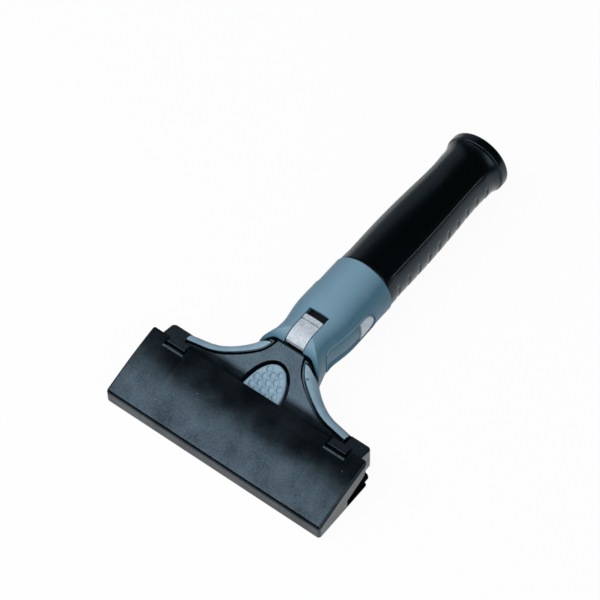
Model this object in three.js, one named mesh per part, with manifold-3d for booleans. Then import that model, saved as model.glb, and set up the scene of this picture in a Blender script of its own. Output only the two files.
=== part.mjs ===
// Glass scraper with a T-shaped tilting head, a push-on safety cap and a hollow grip that takes a pole.
// Millimetres, +Z up. The blade points to -Y and the handle runs to +Y.
// Lengths along the tool (y) are counted from the front of the cap, heights (z) from the table.
import * as THREE from 'three';
import { mergeVertices } from 'three/addons/utils/BufferGeometryUtils.js';
import Module from 'manifold-3d';

// Whole tool
const TOOL_LENGTH = 190;
const AXIS_Z = 15;
const FIT = 0.3;
const BLADE_WIDTH = 100;
const REACH = 60;

// Safety cap: a thin-walled wedge, open at the back
const CAP_SIDE_ROOM = 2.4;
const CAP_DEPTH = 32.3;
const CAP_WALL = 1.6;
const CAP_FLOOR = 1.5;
const CAP_FRONT_Z = 7.9;
const CAP_BEND_Y = 18.5;
const CAP_BEND_Z = 14.6;
const CAP_BEND_SOFTNESS = 5;
const CAP_REAR_Z = 18;
const CAP_EDGE_RADIUS = 1.3;
const CAP_FRONT_CORNER = 2.4;
const CAP_REAR_CORNER = 1.5;
const CAP_SLOT_FRONT_Y = 18.6;
const CAP_SLOT_FRONT_Z = 6;
const CAP_SLOT_KNEE_Y = 29.4;
const CAP_SLOT_KNEE_Z = 10.3;
const CAP_SLOT_REAR_Z = 15;
const CAP_NOTCH_FRONT_Y = 28.2;
const CAP_NOTCH_BOTTOM_Z = 11.5;
const CAP_RIB_WIDTH = 0.8;
const CAP_RIB_HEIGHT = 0.5;

// Head: one flared envelope that is split into base, cover and soft edge inserts.
// The concave edge runs out from the neck and forward to the flare, in shares of both ways.
const HEAD_SIDE_MARGIN = 2;
const HEAD_BOTTOM_Z = 2;
const HEAD_FRONT_Y = 12.6;
const HEAD_LIP_Z = 6.9;
const HEAD_CREST_Y = 24;
const HEAD_SLOPE = 0.3625;
const HEAD_CAP_GAP = 0.5;
const HEAD_REAR_Y = 57;
const HEAD_CORNER = 2;
const HEAD_ROLL_WIDTH = 7.5;
const HEAD_ROLL_HEIGHT = 8;
const HEAD_UNDER_ROLL_WIDTH = 3;
const HEAD_UNDER_ROLL_HEIGHT = 4;
const HEAD_SPLIT_Z = 7.8;
const FLARE_INSET = 10;
const FLARE_REAR_Y = 41;
const FLARE_FRONT_Y = 22;
const FLARE_TAIL_Y = 68;
const NECK_HALF_WIDTH = 13;
const NECK_REAR_Y = 61.5;
const NECK_EDGE = [
  { out: 0, forward: 0 },
  { out: 0.048, forward: 0.22 },
  { out: 0.103, forward: 0.445 },
  { out: 0.29, forward: 0.683 },
  { out: 0.493, forward: 0.85 },
  { out: 0.66, forward: 0.927 },
];
const TAB_WIDTH = 15;
const TAB_FRONT_Y = 27;
const TAB_REAR_Y = 40.8;
const TAB_FALL = 0.235;
const TAB_EDGE = 0.6;
const CLIP_INSET = 10;
const CLIP_WIDTH = 9.4;
const CLIP_FRONT_Y = 29.8;
const CLIP_REAR_Y = 34.2;
const CLIP_TOP_Z = 18;
const CLIP_REAR_TOP_Z = 17;
const CLIP_ROOT_Z = 9.4;
const CLIP_CREST = 1.6;
const CLIP_FRONT_FALL = 0.3;
const LUG_STANDOUT = 3.3;
const LUG_FRONT_Y = 20.2;
const LUG_REAR_Y = 35.2;
const LUG_TOP_Z = 5.7;
const LUG_CORNER = 1.8;
const LUG_ROOT = 1.6;

// Soft inserts along the concave edges
const INSERT_WIDTH = 4.4;
const INSERT_SHORT = 0.6;
const INSERT_NECK_RIM = 1;
const INSERT_CUT_REACH = 18;

// Blade, its seat and its clamp
const BLADE_EDGE_Y = 4.5;
const BLADE_BEVEL = 1.6;
const BLADE_REAR_Y = 28.5;
const BLADE_UNDER_Z = 4;
const BLADE_THICKNESS = 0.45;
const CLAMP_INSET = 1;
const CLAMP_FRONT_Y = 15;
const CLAMP_THICKNESS = 1;
const CLAMP_RIM_HEIGHT = 3.2;
const PIN_X = 25;
const PIN_Y = 22;
const PIN_RADIUS = 1.9;
const PIN_HEIGHT = 3.2;
const PIN_ROOT = 1.5;

// Thumb button: dimpled pad on a plug that sinks straight down into the head
const PAD_CENTRE_Y = 32;
const PAD_HALF_WIDTH = 10.3;
const PAD_REAR_LENGTH = 15.3;
const PAD_FRONT_LENGTH = 6;
const PAD_GROOVE = 0.8;
const PAD_FLANGE = 1.5;
const PAD_FLANGE_THICKNESS = 1.5;
const PAD_FLANGE_Z = 8.4;
const PAD_FLANGE_FRONT_Y = 31.3;
const PAD_PLUG_Z = 10.5;
const PAD_WELL_Z = 3.6;
const DIMPLE_PITCH = 3.4;
const DIMPLE_RADIUS = 1.3;
const DIMPLE_DEPTH = 0.45;
const DIMPLE_MARGIN = 0.4;
const BUTTON_SPRING_Y = 38;
const BUTTON_SPRING_RADIUS = 3.6;
const BUTTON_SPRING_WIRE = 0.35;
const BUTTON_SPRING_CURLS = 4;
const BUTTON_SPRING_SEAT = 1.2;

// Screws from below, front pair and neck pair
const SCREW_FRONT_X = 30;
const SCREW_FRONT_Y = 35;
const SCREW_NECK_X = 9.8;
const SCREW_NECK_Y = 47.6;
const SCREW_RADIUS = 1.4;
const SCREW_HEAD_RADIUS = 2.6;
const SCREW_HEAD_HEIGHT = 1.6;
const SCREW_LENGTH = 11;
const SCREW_SINK = 0.4;
const SCREW_DRIVE_WIDTH = 0.7;
const SCREW_DRIVE_DEPTH = 0.8;

// Tilt hinge between the collar's round nose and the head
const HINGE_Y = 65.5;
const NOSE_RADIUS = 13.2;
const NOSE_GAP = 0.4;
const FORK_HALF_WIDTH = 5;
const KNUCKLE_RADIUS = 7.5;
const WEB_FRONT_Y = 49.8;
const WEB_UNDER_Z = 3;
const WEB_KNEE_Y = 56.5;
const WEB_SHOULDER_Y = 58.5;
const WEB_SHOULDER_Z = 19.5;
const KNUCKLE_NOTCH_WIDTH = 2;
const KNUCKLE_NOTCH_DEPTH = 1.1;
const HINGE_PIN_RADIUS = 2.4;
const HINGE_PIN_HALF_LENGTH = 11.4;
const TILT_STEP = Math.PI / 6;

// Angle slide in the top of the neck
const SLIDE_FRONT_Y = 56.9;
const SLIDE_REAR_Y = 70.2;
const SLIDE_UNDER_Z = 22.9;
const SLIDE_TAIL_Y = 77.5;
const SLIDE_TAIL_Z = 25.6;
const SLIDE_GROOVE_Y = 68;
const SLIDE_GROOVE = 0.5;
const SLIDE_TRAVEL_END_Y = 73.8;
const SLIDE_RAIL_REACH = 1.4;
const SLIDE_RAIL_FRONT_Y = 60.8;
const SLIDE_RAIL_HEIGHT = 1.5;
const TOOTH_TIP_Y = 72;
const TOOTH_TIP_Z = 19.5;
const TOOTH_ROOT_Y = 74;
const TOOTH_UNDER_Z = 18;
const TOOTH_SLANT = 1;
const CHAMBER_REAR_Y = 86;
const CHAMBER_TOP_Z = 26.2;
const SLIDE_SPRING_Z = 20.6;
const SLIDE_SPRING_RADIUS = 1.8;
const SLIDE_SPRING_WIRE = 0.25;
const SLIDE_SPRING_CURLS = 6;

// Collar: at stations along its length, its width as a share of the rear width, how far its height
// has risen from the nose's to the rear height, and how square its oval is (2 is an ellipse)
const COLLAR_FRONT_Y = 48;
const COLLAR_REAR_Y = 104;
const COLLAR_HALF_WIDTH = 15.1;
const COLLAR_HALF_HEIGHT = 14.9;
const COLLAR_STATIONS = [
  { along: 0, width: 1.15, rise: 0, square: 2.9 },
  { along: 0.08, width: 1.045, rise: 0, square: 2.8 },
  { along: 0.16, width: 0.955, rise: 0, square: 2.7 },
  { along: 0.23, width: 0.882, rise: 0, square: 2.6 },
  { along: 0.31, width: 0.855, rise: 0, square: 2.5 },
  { along: 0.39, width: 0.905, rise: 0.03, square: 2.4 },
  { along: 0.465, width: 0.96, rise: 0.18, square: 2.3 },
  { along: 0.555, width: 0.99, rise: 0.47, square: 2.2 },
  { along: 0.715, width: 0.99, rise: 0.765, square: 2.1 },
  { along: 0.86, width: 0.995, rise: 0.91, square: 2.05 },
  { along: 1, width: 1, rise: 1, square: 2 },
];
const COLLAR_BORE_Y = 87.2;
const PANEL_FRONT_Y = 61.5;
const PANEL_HALF_HEIGHT = 6;
const PANEL_CORNER = 3;
const PANEL_DEPTH = 0.7;
const PANEL_REAR_RIM = 0.6;

// Pole buttons in the collar's sides: flat in front, round at the back
const POLE_BUTTON_FRONT_Y = 83.6;
const POLE_BUTTON_CENTRE_Y = 86.2;
const POLE_BUTTON_REAR_Y = 92;
const POLE_BUTTON_HALF_HEIGHT = 5.6;
const POLE_BUTTON_INNER_X = 10.2;
const POLE_BUTTON_EAR = 0.9;
const POLE_BUTTON_EAR_DEPTH = 1.3;
const POLE_BUTTON_PROUD = 0.2;
const POLE_WELL_X = 8;
const POLE_SPRING_BOW = 1.5;
const POLE_SPRING_THICKNESS = 0.35;
const POLE_SPRING_HALF_HEIGHT = 2.5;
const POLE_SPRING_HALF_LENGTH = 3.6;

// Core tube with the tapered pole socket
const CORE_RADIUS = 11.7;
const CORE_FRONT_Y = 87.6;
const CORE_REAR_Y = 189.5;
const CORE_SPIGOT_RADIUS = 9;
const CORE_WALL_FRONT_Y = 94.5;
const SOCKET_END_Y = 97;
const SOCKET_END_RADIUS = 8.8;
const SOCKET_MOUTH_RADIUS = 10.3;

// Grip sleeve: barrel as shares of its greatest radius, flange, cross grooves below, stepped sides
const GRIP_FRONT_Y = 104.3;
const GRIP_RADIUS = 14.9;
const GRIP_BARREL = [0.977, 0.993, 1, 0.987, 0.953, 0.913, 0.903];
const GRIP_WAIST_Y = 178;
const FLANGE_FRONT_Y = 184.6;
const FLANGE_RADIUS = 15;
const FLANGE_STEP = 0.5;
const FLANGE_ROUND = 0.9;
const FLANGE_SWEEP = 3;
const GRIP_SIDE_STEP = 0.35;
const GRIP_SIDE_ANGLE = 0.68;
const GROOVE_COUNT = 10;
const GROOVE_FIRST_Y = 110.5;
const GROOVE_PITCH = 7.3;
const GROOVE_WIDTH = 1.3;
const GROOVE_DEPTH = 0.6;
const GROOVE_TOP_Z = 18;

// Fineness of round shapes
const ROUND_SIDES = 36;
const SMALL_SIDES = 16;
const ROLL_STEPS = 5;
const CURVE_STEPS = 15;
const CURL_STEPS = 8;
const DIMPLE_FINENESS = 2;
const WIRE_SIDES = 5;
const WELD = 1e-4;

// Half widths across the tool, all from the blade's width
const headHalfWidth = BLADE_WIDTH / 2 + HEAD_SIDE_MARGIN;
const capInnerHalf = headHalfWidth + CAP_SIDE_ROOM;
const capHalfWidth = capInnerHalf + CAP_WALL;
const flareHalfWidth = headHalfWidth - FLARE_INSET;
const tabInnerX = headHalfWidth - TAB_WIDTH;
const clipCentreX = headHalfWidth - CLIP_INSET;
const lugReachX = headHalfWidth + LUG_STANDOUT;
const insertEndX = flareHalfWidth - INSERT_SHORT;
const clampHalfWidth = BLADE_WIDTH / 2 - CLAMP_INSET;

const wasm = await Module();
wasm.setup();

// Outlines pushed along X are written as (y, z), along Y as (z, x) and along Z as (x, y).
const UNIT_X = new THREE.Vector3(1, 0, 0);
const UNIT_Y = new THREE.Vector3(0, 1, 0);
const UNIT_Z = new THREE.Vector3(0, 0, 1);
const ALONG_X = new THREE.Matrix4().makeBasis(UNIT_Y, UNIT_Z, UNIT_X);
const ALONG_Y = new THREE.Matrix4().makeBasis(UNIT_Z, UNIT_X, UNIT_Y);
const ALONG_Z = new THREE.Matrix4();

function toSolid(geometry) {
  const bare = geometry.clone();
  bare.deleteAttribute('normal');
  bare.deleteAttribute('uv');
  const welded = mergeVertices(bare, WELD);
  const corners = welded.index.array;
  const kept = [];
  for (let i = 0; i < corners.length; i += 3) {
    const [a, b, c] = [corners[i], corners[i + 1], corners[i + 2]];
    if (a !== b && b !== c && c !== a) {
      kept.push(a, b, c);
    }
  }
  const mesh = new wasm.Mesh({
    numProp: 3,
    vertProperties: new Float32Array(welded.attributes.position.array),
    triVerts: new Uint32Array(kept),
  });
  return new wasm.Manifold(mesh);
}

function toGeometry(solid) {
  const mesh = solid.getMesh();
  const geometry = new THREE.BufferGeometry();
  geometry.setAttribute('position', new THREE.BufferAttribute(mesh.vertProperties, mesh.numProp));
  geometry.setIndex(new THREE.BufferAttribute(mesh.triVerts, 1));
  const facets = geometry.toNonIndexed();
  facets.computeVertexNormals();
  return facets;
}

function outlineShape(outline) {
  if (outline instanceof THREE.Shape) {
    return outline;
  }
  return new THREE.Shape(outline.map(([u, v]) => new THREE.Vector2(u, v)));
}

function prism(outline, from, to, axes) {
  const geometry = new THREE.ExtrudeGeometry(outlineShape(outline), {
    depth: to - from,
    bevelEnabled: false,
    curveSegments: ROLL_STEPS,
  });
  geometry.translate(0, 0, from);
  geometry.applyMatrix4(axes);
  return toSolid(geometry);
}

// A plate between two heights whose top and bottom edges are rolled over inwards.
function rolledPlate(outline, bottom, top, rollWidth, rollHeight, rise) {
  const geometry = new THREE.ExtrudeGeometry(outlineShape(outline), {
    depth: top - bottom - 2 * rollHeight,
    bevelEnabled: true,
    bevelThickness: rollHeight,
    bevelSize: rollWidth,
    bevelOffset: -rollWidth,
    bevelSegments: ROLL_STEPS,
    curveSegments: ROLL_STEPS,
  });
  geometry.translate(0, 0, bottom + rollHeight);
  geometry.applyMatrix4(new THREE.Matrix4().makeShear(0, 0, 0, rise, 0, 0));
  return toSolid(geometry);
}

function block(x0, x1, y0, y1, z0, z1) {
  const geometry = new THREE.BoxGeometry(x1 - x0, y1 - y0, z1 - z0);
  geometry.translate((x0 + x1) / 2, (y0 + y1) / 2, (z0 + z1) / 2);
  return toSolid(geometry);
}

function roller(radius, y, z, x0, x1, sides) {
  const geometry = new THREE.CylinderGeometry(radius, radius, x1 - x0, sides);
  geometry.rotateZ(-Math.PI / 2);
  geometry.translate((x0 + x1) / 2, y, z);
  return toSolid(geometry);
}

function post(radius, x, y, z0, z1, sides) {
  const geometry = new THREE.CylinderGeometry(radius, radius, z1 - z0, sides);
  geometry.rotateX(Math.PI / 2);
  geometry.translate(x, y, (z0 + z1) / 2);
  return toSolid(geometry);
}

// A closed profile of (radius, y) turned around the handle's centre line.
function turned(profile) {
  const points = profile.map(([radius, y]) => new THREE.Vector2(radius, y));
  const geometry = new THREE.LatheGeometry(points, ROUND_SIDES);
  geometry.translate(0, 0, AXIS_Z);
  return toSolid(geometry);
}

// A skin over closed rings of equal point count, with a fan over each end.
function loft(rings) {
  const count = rings[0].length;
  const positions = [];
  const corners = [];
  rings.forEach((ring) => ring.forEach((point) => positions.push(point.x, point.y, point.z)));
  for (let r = 0; r + 1 < rings.length; r += 1) {
    for (let i = 0; i < count; i += 1) {
      const a = r * count + i;
      const b = r * count + ((i + 1) % count);
      corners.push(a, a + count, b, b, a + count, b + count);
    }
  }
  [0, rings.length - 1].forEach((r) => {
    const hub = positions.length / 3;
    const middle = new THREE.Vector3();
    rings[r].forEach((point) => middle.addScaledVector(point, 1 / count));
    positions.push(middle.x, middle.y, middle.z);
    for (let i = 0; i < count; i += 1) {
      const a = r * count + i;
      const b = r * count + ((i + 1) % count);
      corners.push(hub, r === 0 ? a : b, r === 0 ? b : a);
    }
  });
  const geometry = new THREE.BufferGeometry();
  geometry.setAttribute('position', new THREE.Float32BufferAttribute(positions, 3));
  geometry.setIndex(corners);
  return toSolid(geometry);
}

// The same solid on the other side of the tool's middle plane.
function mirrored(solid) {
  const { numProp, vertProperties, triVerts } = solid.getMesh();
  const mesh = new wasm.Mesh({
    numProp,
    vertProperties: vertProperties.map((value, i) => (i % numProp === 0 ? -value : value)),
    triVerts: triVerts.slice().reverse(),
  });
  return new wasm.Manifold(mesh);
}

function joined(first, ...others) {
  return others.reduce((sum, next) => sum.add(next), first);
}

function without(first, ...others) {
  return others.reduce((rest, next) => rest.subtract(next), first);
}

// A coil spring: one unbroken round wire. Its least gap to itself is measured between turns and printed.
function coil(name, radius, wire, curls, length, place) {
  const steps = curls * CURL_STEPS;
  const rise = length - 2 * wire;
  const centres = [];
  for (let s = 0; s <= steps; s += 1) {
    const turn = (s / CURL_STEPS) * 2 * Math.PI;
    const height = wire + (rise * s) / steps;
    centres.push(new THREE.Vector3(radius * Math.cos(turn), radius * Math.sin(turn), height));
  }
  const rings = centres.map((centre, s) => {
    const turn = (s / CURL_STEPS) * 2 * Math.PI;
    const out = new THREE.Vector3(Math.cos(turn), Math.sin(turn), 0);
    return Array.from({ length: WIRE_SIDES }, (_, k) => {
      const angle = (2 * Math.PI * k) / WIRE_SIDES;
      const point = centre.clone();
      point.addScaledVector(out, wire * Math.cos(angle));
      point.z += wire * Math.sin(angle);
      return point;
    });
  });
  let least = Infinity;
  centres.forEach((a, i) => {
    centres.slice(i + CURL_STEPS - 1).forEach((b) => {
      least = Math.min(least, a.distanceTo(b) - 2 * wire);
    });
  });
  console.log(`${name}: least gap between turns ${least.toFixed(2)} mm`);
  const placed = rings.map((ring) => ring.map((point) => point.applyMatrix4(place)));
  return loft(placed);
}

// Safety cap
function capTopZ(y) {
  if (y < CAP_BEND_Y) {
    return CAP_FRONT_Z + ((CAP_BEND_Z - CAP_FRONT_Z) * y) / CAP_BEND_Y;
  }
  return CAP_BEND_Z + ((CAP_REAR_Z - CAP_BEND_Z) * (y - CAP_BEND_Y)) / (CAP_DEPTH - CAP_BEND_Y);
}

function roundedPlan(halfWidth, front, rear, frontCorner, rearCorner) {
  const plan = new THREE.Shape();
  plan.moveTo(-halfWidth + frontCorner, front);
  plan.lineTo(halfWidth - frontCorner, front);
  plan.absarc(halfWidth - frontCorner, front + frontCorner, frontCorner, -Math.PI / 2, 0, false);
  plan.lineTo(halfWidth, rear - rearCorner);
  plan.absarc(halfWidth - rearCorner, rear - rearCorner, rearCorner, 0, Math.PI / 2, false);
  plan.lineTo(-halfWidth + rearCorner, rear);
  plan.absarc(-halfWidth + rearCorner, rear - rearCorner, rearCorner, Math.PI / 2, Math.PI, false);
  plan.lineTo(-halfWidth, front + frontCorner);
  plan.absarc(-halfWidth + frontCorner, front + frontCorner, frontCorner, Math.PI, 1.5 * Math.PI, false);
  return plan;
}

const capSide = new THREE.Shape();
capSide.moveTo(CAP_EDGE_RADIUS, 0);
capSide.lineTo(CAP_DEPTH, 0);
capSide.lineTo(CAP_DEPTH, CAP_REAR_Z);
capSide.lineTo(CAP_BEND_Y + CAP_BEND_SOFTNESS, capTopZ(CAP_BEND_Y + CAP_BEND_SOFTNESS));
capSide.quadraticCurveTo(
  CAP_BEND_Y,
  CAP_BEND_Z,
  CAP_BEND_Y - CAP_BEND_SOFTNESS,
  capTopZ(CAP_BEND_Y - CAP_BEND_SOFTNESS),
);
capSide.lineTo(CAP_EDGE_RADIUS, capTopZ(CAP_EDGE_RADIUS));
capSide.quadraticCurveTo(0, CAP_FRONT_Z, 0, CAP_FRONT_Z - CAP_EDGE_RADIUS);
capSide.lineTo(0, CAP_EDGE_RADIUS);
capSide.quadraticCurveTo(0, 0, CAP_EDGE_RADIUS, 0);

const capHollow = [
  [CAP_WALL, CAP_FLOOR],
  [CAP_DEPTH + REACH, CAP_FLOOR],
  [CAP_DEPTH + REACH, capTopZ(CAP_DEPTH + REACH) - CAP_WALL],
  [CAP_BEND_Y, CAP_BEND_Z - CAP_WALL],
  [CAP_WALL, capTopZ(CAP_WALL) - CAP_WALL],
];
const capEndSlot = [
  [CAP_SLOT_FRONT_Y, CAP_FLOOR],
  [CAP_DEPTH + REACH, CAP_FLOOR],
  [CAP_DEPTH + REACH, CAP_SLOT_REAR_Z],
  [CAP_DEPTH, CAP_SLOT_REAR_Z],
  [CAP_SLOT_KNEE_Y, CAP_SLOT_KNEE_Z],
  [CAP_SLOT_FRONT_Y, CAP_SLOT_FRONT_Z],
];
const notchHalfWidth = CLIP_WIDTH / 2 + 2 * FIT;
const ribTop = capTopZ(CAP_NOTCH_FRONT_Y) + CAP_RIB_HEIGHT;
const capNotch = block(
  clipCentreX - notchHalfWidth,
  clipCentreX + notchHalfWidth,
  CAP_NOTCH_FRONT_Y,
  CAP_DEPTH + REACH,
  CAP_NOTCH_BOTTOM_Z,
  REACH,
);
const capRib = block(
  clipCentreX - notchHalfWidth,
  clipCentreX + notchHalfWidth,
  CAP_NOTCH_FRONT_Y - CAP_RIB_WIDTH,
  CAP_NOTCH_FRONT_Y,
  capTopZ(CAP_NOTCH_FRONT_Y) - CAP_WALL,
  ribTop,
);
const capSlotCut = prism(capEndSlot, capInnerHalf - FIT, REACH, ALONG_X);
const capPlan = roundedPlan(capHalfWidth, 0, CAP_DEPTH, CAP_FRONT_CORNER, CAP_REAR_CORNER);
const capBody = without(
  prism(capSide, -capHalfWidth, capHalfWidth, ALONG_X).intersect(prism(capPlan, 0, REACH, ALONG_Z)),
  prism(capHollow, -capInnerHalf, capInnerHalf, ALONG_X),
);
const bladeCap = without(
  joined(capBody, capRib, mirrored(capRib)),
  capNotch,
  mirrored(capNotch),
  capSlotCut,
  mirrored(capSlotCut),
);

// Head envelope: front wedge, flared body and end tabs in one
function headTopZ(y) {
  const underCap = (station) => capTopZ(station) - CAP_WALL - HEAD_CAP_GAP;
  if (y < HEAD_CREST_Y) {
    const climb = (underCap(HEAD_CREST_Y) - HEAD_LIP_Z) / (HEAD_CREST_Y - HEAD_FRONT_Y);
    return HEAD_LIP_Z + climb * (y - HEAD_FRONT_Y);
  }
  if (y < CAP_DEPTH) {
    return underCap(y);
  }
  return underCap(CAP_DEPTH) + HEAD_SLOPE * (y - CAP_DEPTH);
}

const headTopSide = [
  [HEAD_FRONT_Y, 0],
  [TOOL_LENGTH, 0],
  [TOOL_LENGTH, headTopZ(TOOL_LENGTH)],
  [CAP_DEPTH, headTopZ(CAP_DEPTH)],
  [HEAD_CREST_Y, headTopZ(HEAD_CREST_Y)],
  [HEAD_FRONT_Y, HEAD_LIP_Z],
];
const underHeadTop = prism(headTopSide, -REACH, REACH, ALONG_X);

const neckSide = new THREE.SplineCurve(
  NECK_EDGE.map(({ out, forward }) => {
    const x = THREE.MathUtils.lerp(NECK_HALF_WIDTH, flareHalfWidth, out);
    const y = THREE.MathUtils.lerp(NECK_REAR_Y, FLARE_REAR_Y, forward);
    return new THREE.Vector2(x, y);
  }),
);
const neckPoints = neckSide.getPoints(CURVE_STEPS).map((point) => [point.x, point.y]);
const flareEdge = [...neckPoints, [flareHalfWidth, FLARE_REAR_Y]];
const flareTail = [flareEdge[0][0], FLARE_TAIL_Y];
const flareRight = [flareTail, ...flareEdge, [flareHalfWidth, FLARE_FRONT_Y]];
const flareLeft = flareRight.map(([x, y]) => [-x, y]).reverse();
const flareOutline = [...flareRight, ...flareLeft];
const flareRise = headTopZ(CAP_DEPTH) - HEAD_SLOPE * CAP_DEPTH;
const flareUpper = rolledPlate(
  flareOutline,
  -REACH,
  flareRise,
  HEAD_ROLL_WIDTH,
  HEAD_ROLL_HEIGHT,
  HEAD_SLOPE,
);
const flareLower = rolledPlate(
  flareOutline,
  HEAD_BOTTOM_Z,
  REACH,
  HEAD_UNDER_ROLL_WIDTH,
  HEAD_UNDER_ROLL_HEIGHT,
  0,
);
const neckEnd = block(-REACH, REACH, HEAD_REAR_Y, HEAD_REAR_Y + REACH, -REACH, REACH);
const noseSweep = roller(NOSE_RADIUS + NOSE_GAP, HINGE_Y, AXIS_Z, -REACH, REACH, 2 * ROUND_SIDES);
const flare = without(flareUpper.intersect(flareLower), neckEnd, noseSweep);

const wedgeSide = [
  [HEAD_FRONT_Y, HEAD_BOTTOM_Z],
  [CAP_DEPTH, HEAD_BOTTOM_Z],
  [CAP_DEPTH, headTopZ(CAP_DEPTH)],
  [HEAD_CREST_Y, headTopZ(HEAD_CREST_Y)],
  [HEAD_FRONT_Y, HEAD_LIP_Z],
];
const wedgePlan = roundedPlan(headHalfWidth, HEAD_FRONT_Y, CAP_DEPTH, HEAD_CORNER, HEAD_CORNER / 2);
const wedge = prism(wedgeSide, -headHalfWidth, headHalfWidth, ALONG_X).intersect(
  prism(wedgePlan, 0, REACH, ALONG_Z),
);

const tabPlan = new THREE.Shape();
tabPlan.moveTo(tabInnerX, TAB_FRONT_Y);
tabPlan.lineTo(headHalfWidth, TAB_FRONT_Y);
tabPlan.lineTo(headHalfWidth, TAB_REAR_Y - HEAD_CORNER);
tabPlan.absarc(
  headHalfWidth - HEAD_CORNER,
  TAB_REAR_Y - HEAD_CORNER,
  HEAD_CORNER,
  0,
  Math.PI / 2,
  false,
);
tabPlan.lineTo(tabInnerX, TAB_REAR_Y);
const tabTop = headTopZ(CAP_DEPTH) + TAB_FALL * CAP_DEPTH;
const tabBlank = rolledPlate(tabPlan, -REACH, tabTop, TAB_EDGE, TAB_EDGE, -TAB_FALL);
const tabFoot = rolledPlate(tabPlan, HEAD_BOTTOM_Z, REACH, TAB_EDGE, TAB_EDGE, 0);
const tab = tabBlank.intersect(tabFoot).intersect(underHeadTop);
const headEnvelope = joined(wedge, flare, tab, mirrored(tab));

// Plan of the thumb pad, an egg that is long towards the neck, grown by a margin
function padPlan(grow) {
  return Array.from({ length: ROUND_SIDES }, (_, k) => {
    const angle = (2 * Math.PI * k) / ROUND_SIDES;
    const length = Math.sin(angle) > 0 ? PAD_REAR_LENGTH : PAD_FRONT_LENGTH;
    return [
      (PAD_HALF_WIDTH + grow) * Math.cos(angle),
      PAD_CENTRE_Y + (length + grow) * Math.sin(angle),
    ];
  });
}

const clampUnderZ = BLADE_UNDER_Z + BLADE_THICKNESS + FIT;
const clampTopZ = clampUnderZ + CLAMP_THICKNESS;
const clampRimTopZ = clampUnderZ + CLAMP_RIM_HEIGHT;
const clampRearY = BLADE_REAR_Y + FIT + CLAMP_THICKNESS;
const seatStepY = clampRearY + FIT;
const flangeTopZ = PAD_FLANGE_Z + PAD_FLANGE_THICKNESS;
const flangeRoom = prism(padPlan(PAD_FLANGE + FIT), PAD_WELL_Z, flangeTopZ + FIT, ALONG_Z).intersect(
  block(-REACH, REACH, PAD_FLANGE_FRONT_Y - FIT, TOOL_LENGTH, -REACH, REACH),
);

const screwPlaces = [
  [SCREW_FRONT_X, SCREW_FRONT_Y],
  [-SCREW_FRONT_X, SCREW_FRONT_Y],
  [SCREW_NECK_X, SCREW_NECK_Y],
  [-SCREW_NECK_X, SCREW_NECK_Y],
];
const screwHeadZ = HEAD_BOTTOM_Z + SCREW_SINK;
const screwShoulderZ = screwHeadZ + SCREW_HEAD_HEIGHT;
const screwTipZ = screwShoulderZ + SCREW_LENGTH;
const screwRooms = screwPlaces.map(([x, y]) =>
  joined(
    post(SCREW_HEAD_RADIUS + FIT, x, y, 0, screwShoulderZ + FIT, SMALL_SIDES),
    post(SCREW_RADIUS + FIT, x, y, 0, screwTipZ + FIT, SMALL_SIDES),
  ),
);

// Hinge knuckle: a disc with two detent notches on a web that grows out of the base
const knuckleHalf = FORK_HALF_WIDTH - NOSE_GAP;
function webSide(grow) {
  return [
    [WEB_FRONT_Y - grow, WEB_UNDER_Z - grow],
    [WEB_KNEE_Y, WEB_UNDER_Z - grow],
    [HINGE_Y, AXIS_Z - KNUCKLE_RADIUS - grow],
    [HINGE_Y, AXIS_Z + KNUCKLE_RADIUS + grow],
    [WEB_SHOULDER_Y - grow, WEB_SHOULDER_Z + grow],
    [WEB_FRONT_Y - grow, HEAD_SPLIT_Z + grow],
  ];
}
const toothAngle = Math.atan2(TOOTH_TIP_Z - AXIS_Z, TOOTH_TIP_Y - HINGE_Y);
const notchCuts = [toothAngle, toothAngle - TILT_STEP].map((angle) => {
  const notch = new THREE.BoxGeometry(REACH, 2 * KNUCKLE_NOTCH_DEPTH, KNUCKLE_NOTCH_WIDTH);
  notch.translate(0, KNUCKLE_RADIUS, 0);
  notch.rotateX(angle);
  notch.translate(0, HINGE_Y, AXIS_Z);
  return toSolid(notch);
});
const knuckle = without(
  joined(
    prism(webSide(0), -knuckleHalf, knuckleHalf, ALONG_X),
    roller(KNUCKLE_RADIUS, HINGE_Y, AXIS_Z, -knuckleHalf, knuckleHalf, ROUND_SIDES),
  ),
  roller(HINGE_PIN_RADIUS + FIT, HINGE_Y, AXIS_Z, -REACH, REACH, SMALL_SIDES),
  ...notchCuts,
);

// Base: floor under the blade, raised rear half, locating pins and end lugs
const seatZ = BLADE_UNDER_Z - FIT;
const baseHeight = joined(
  block(-REACH, REACH, 0, TOOL_LENGTH, 0, seatZ),
  block(-REACH, REACH, seatStepY, TOOL_LENGTH, 0, HEAD_SPLIT_Z),
);
const pin = post(PIN_RADIUS, PIN_X, PIN_Y, seatZ - PIN_ROOT, seatZ + PIN_HEIGHT, SMALL_SIDES);
const lugRoundY = LUG_REAR_Y - LUG_CORNER;
const lugSide = new THREE.Shape();
lugSide.moveTo(LUG_FRONT_Y, HEAD_BOTTOM_Z);
lugSide.lineTo(lugRoundY, HEAD_BOTTOM_Z);
lugSide.absarc(lugRoundY, HEAD_BOTTOM_Z + LUG_CORNER, LUG_CORNER, -Math.PI / 2, 0, false);
lugSide.absarc(lugRoundY, LUG_TOP_Z - LUG_CORNER, LUG_CORNER, 0, Math.PI / 2, false);
lugSide.lineTo(LUG_FRONT_Y + LUG_CORNER, LUG_TOP_Z);
lugSide.absarc(LUG_FRONT_Y + LUG_CORNER, LUG_TOP_Z - LUG_CORNER, LUG_CORNER, Math.PI / 2, Math.PI, false);
const lug = prism(lugSide, headHalfWidth - LUG_ROOT, lugReachX, ALONG_X);
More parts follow.
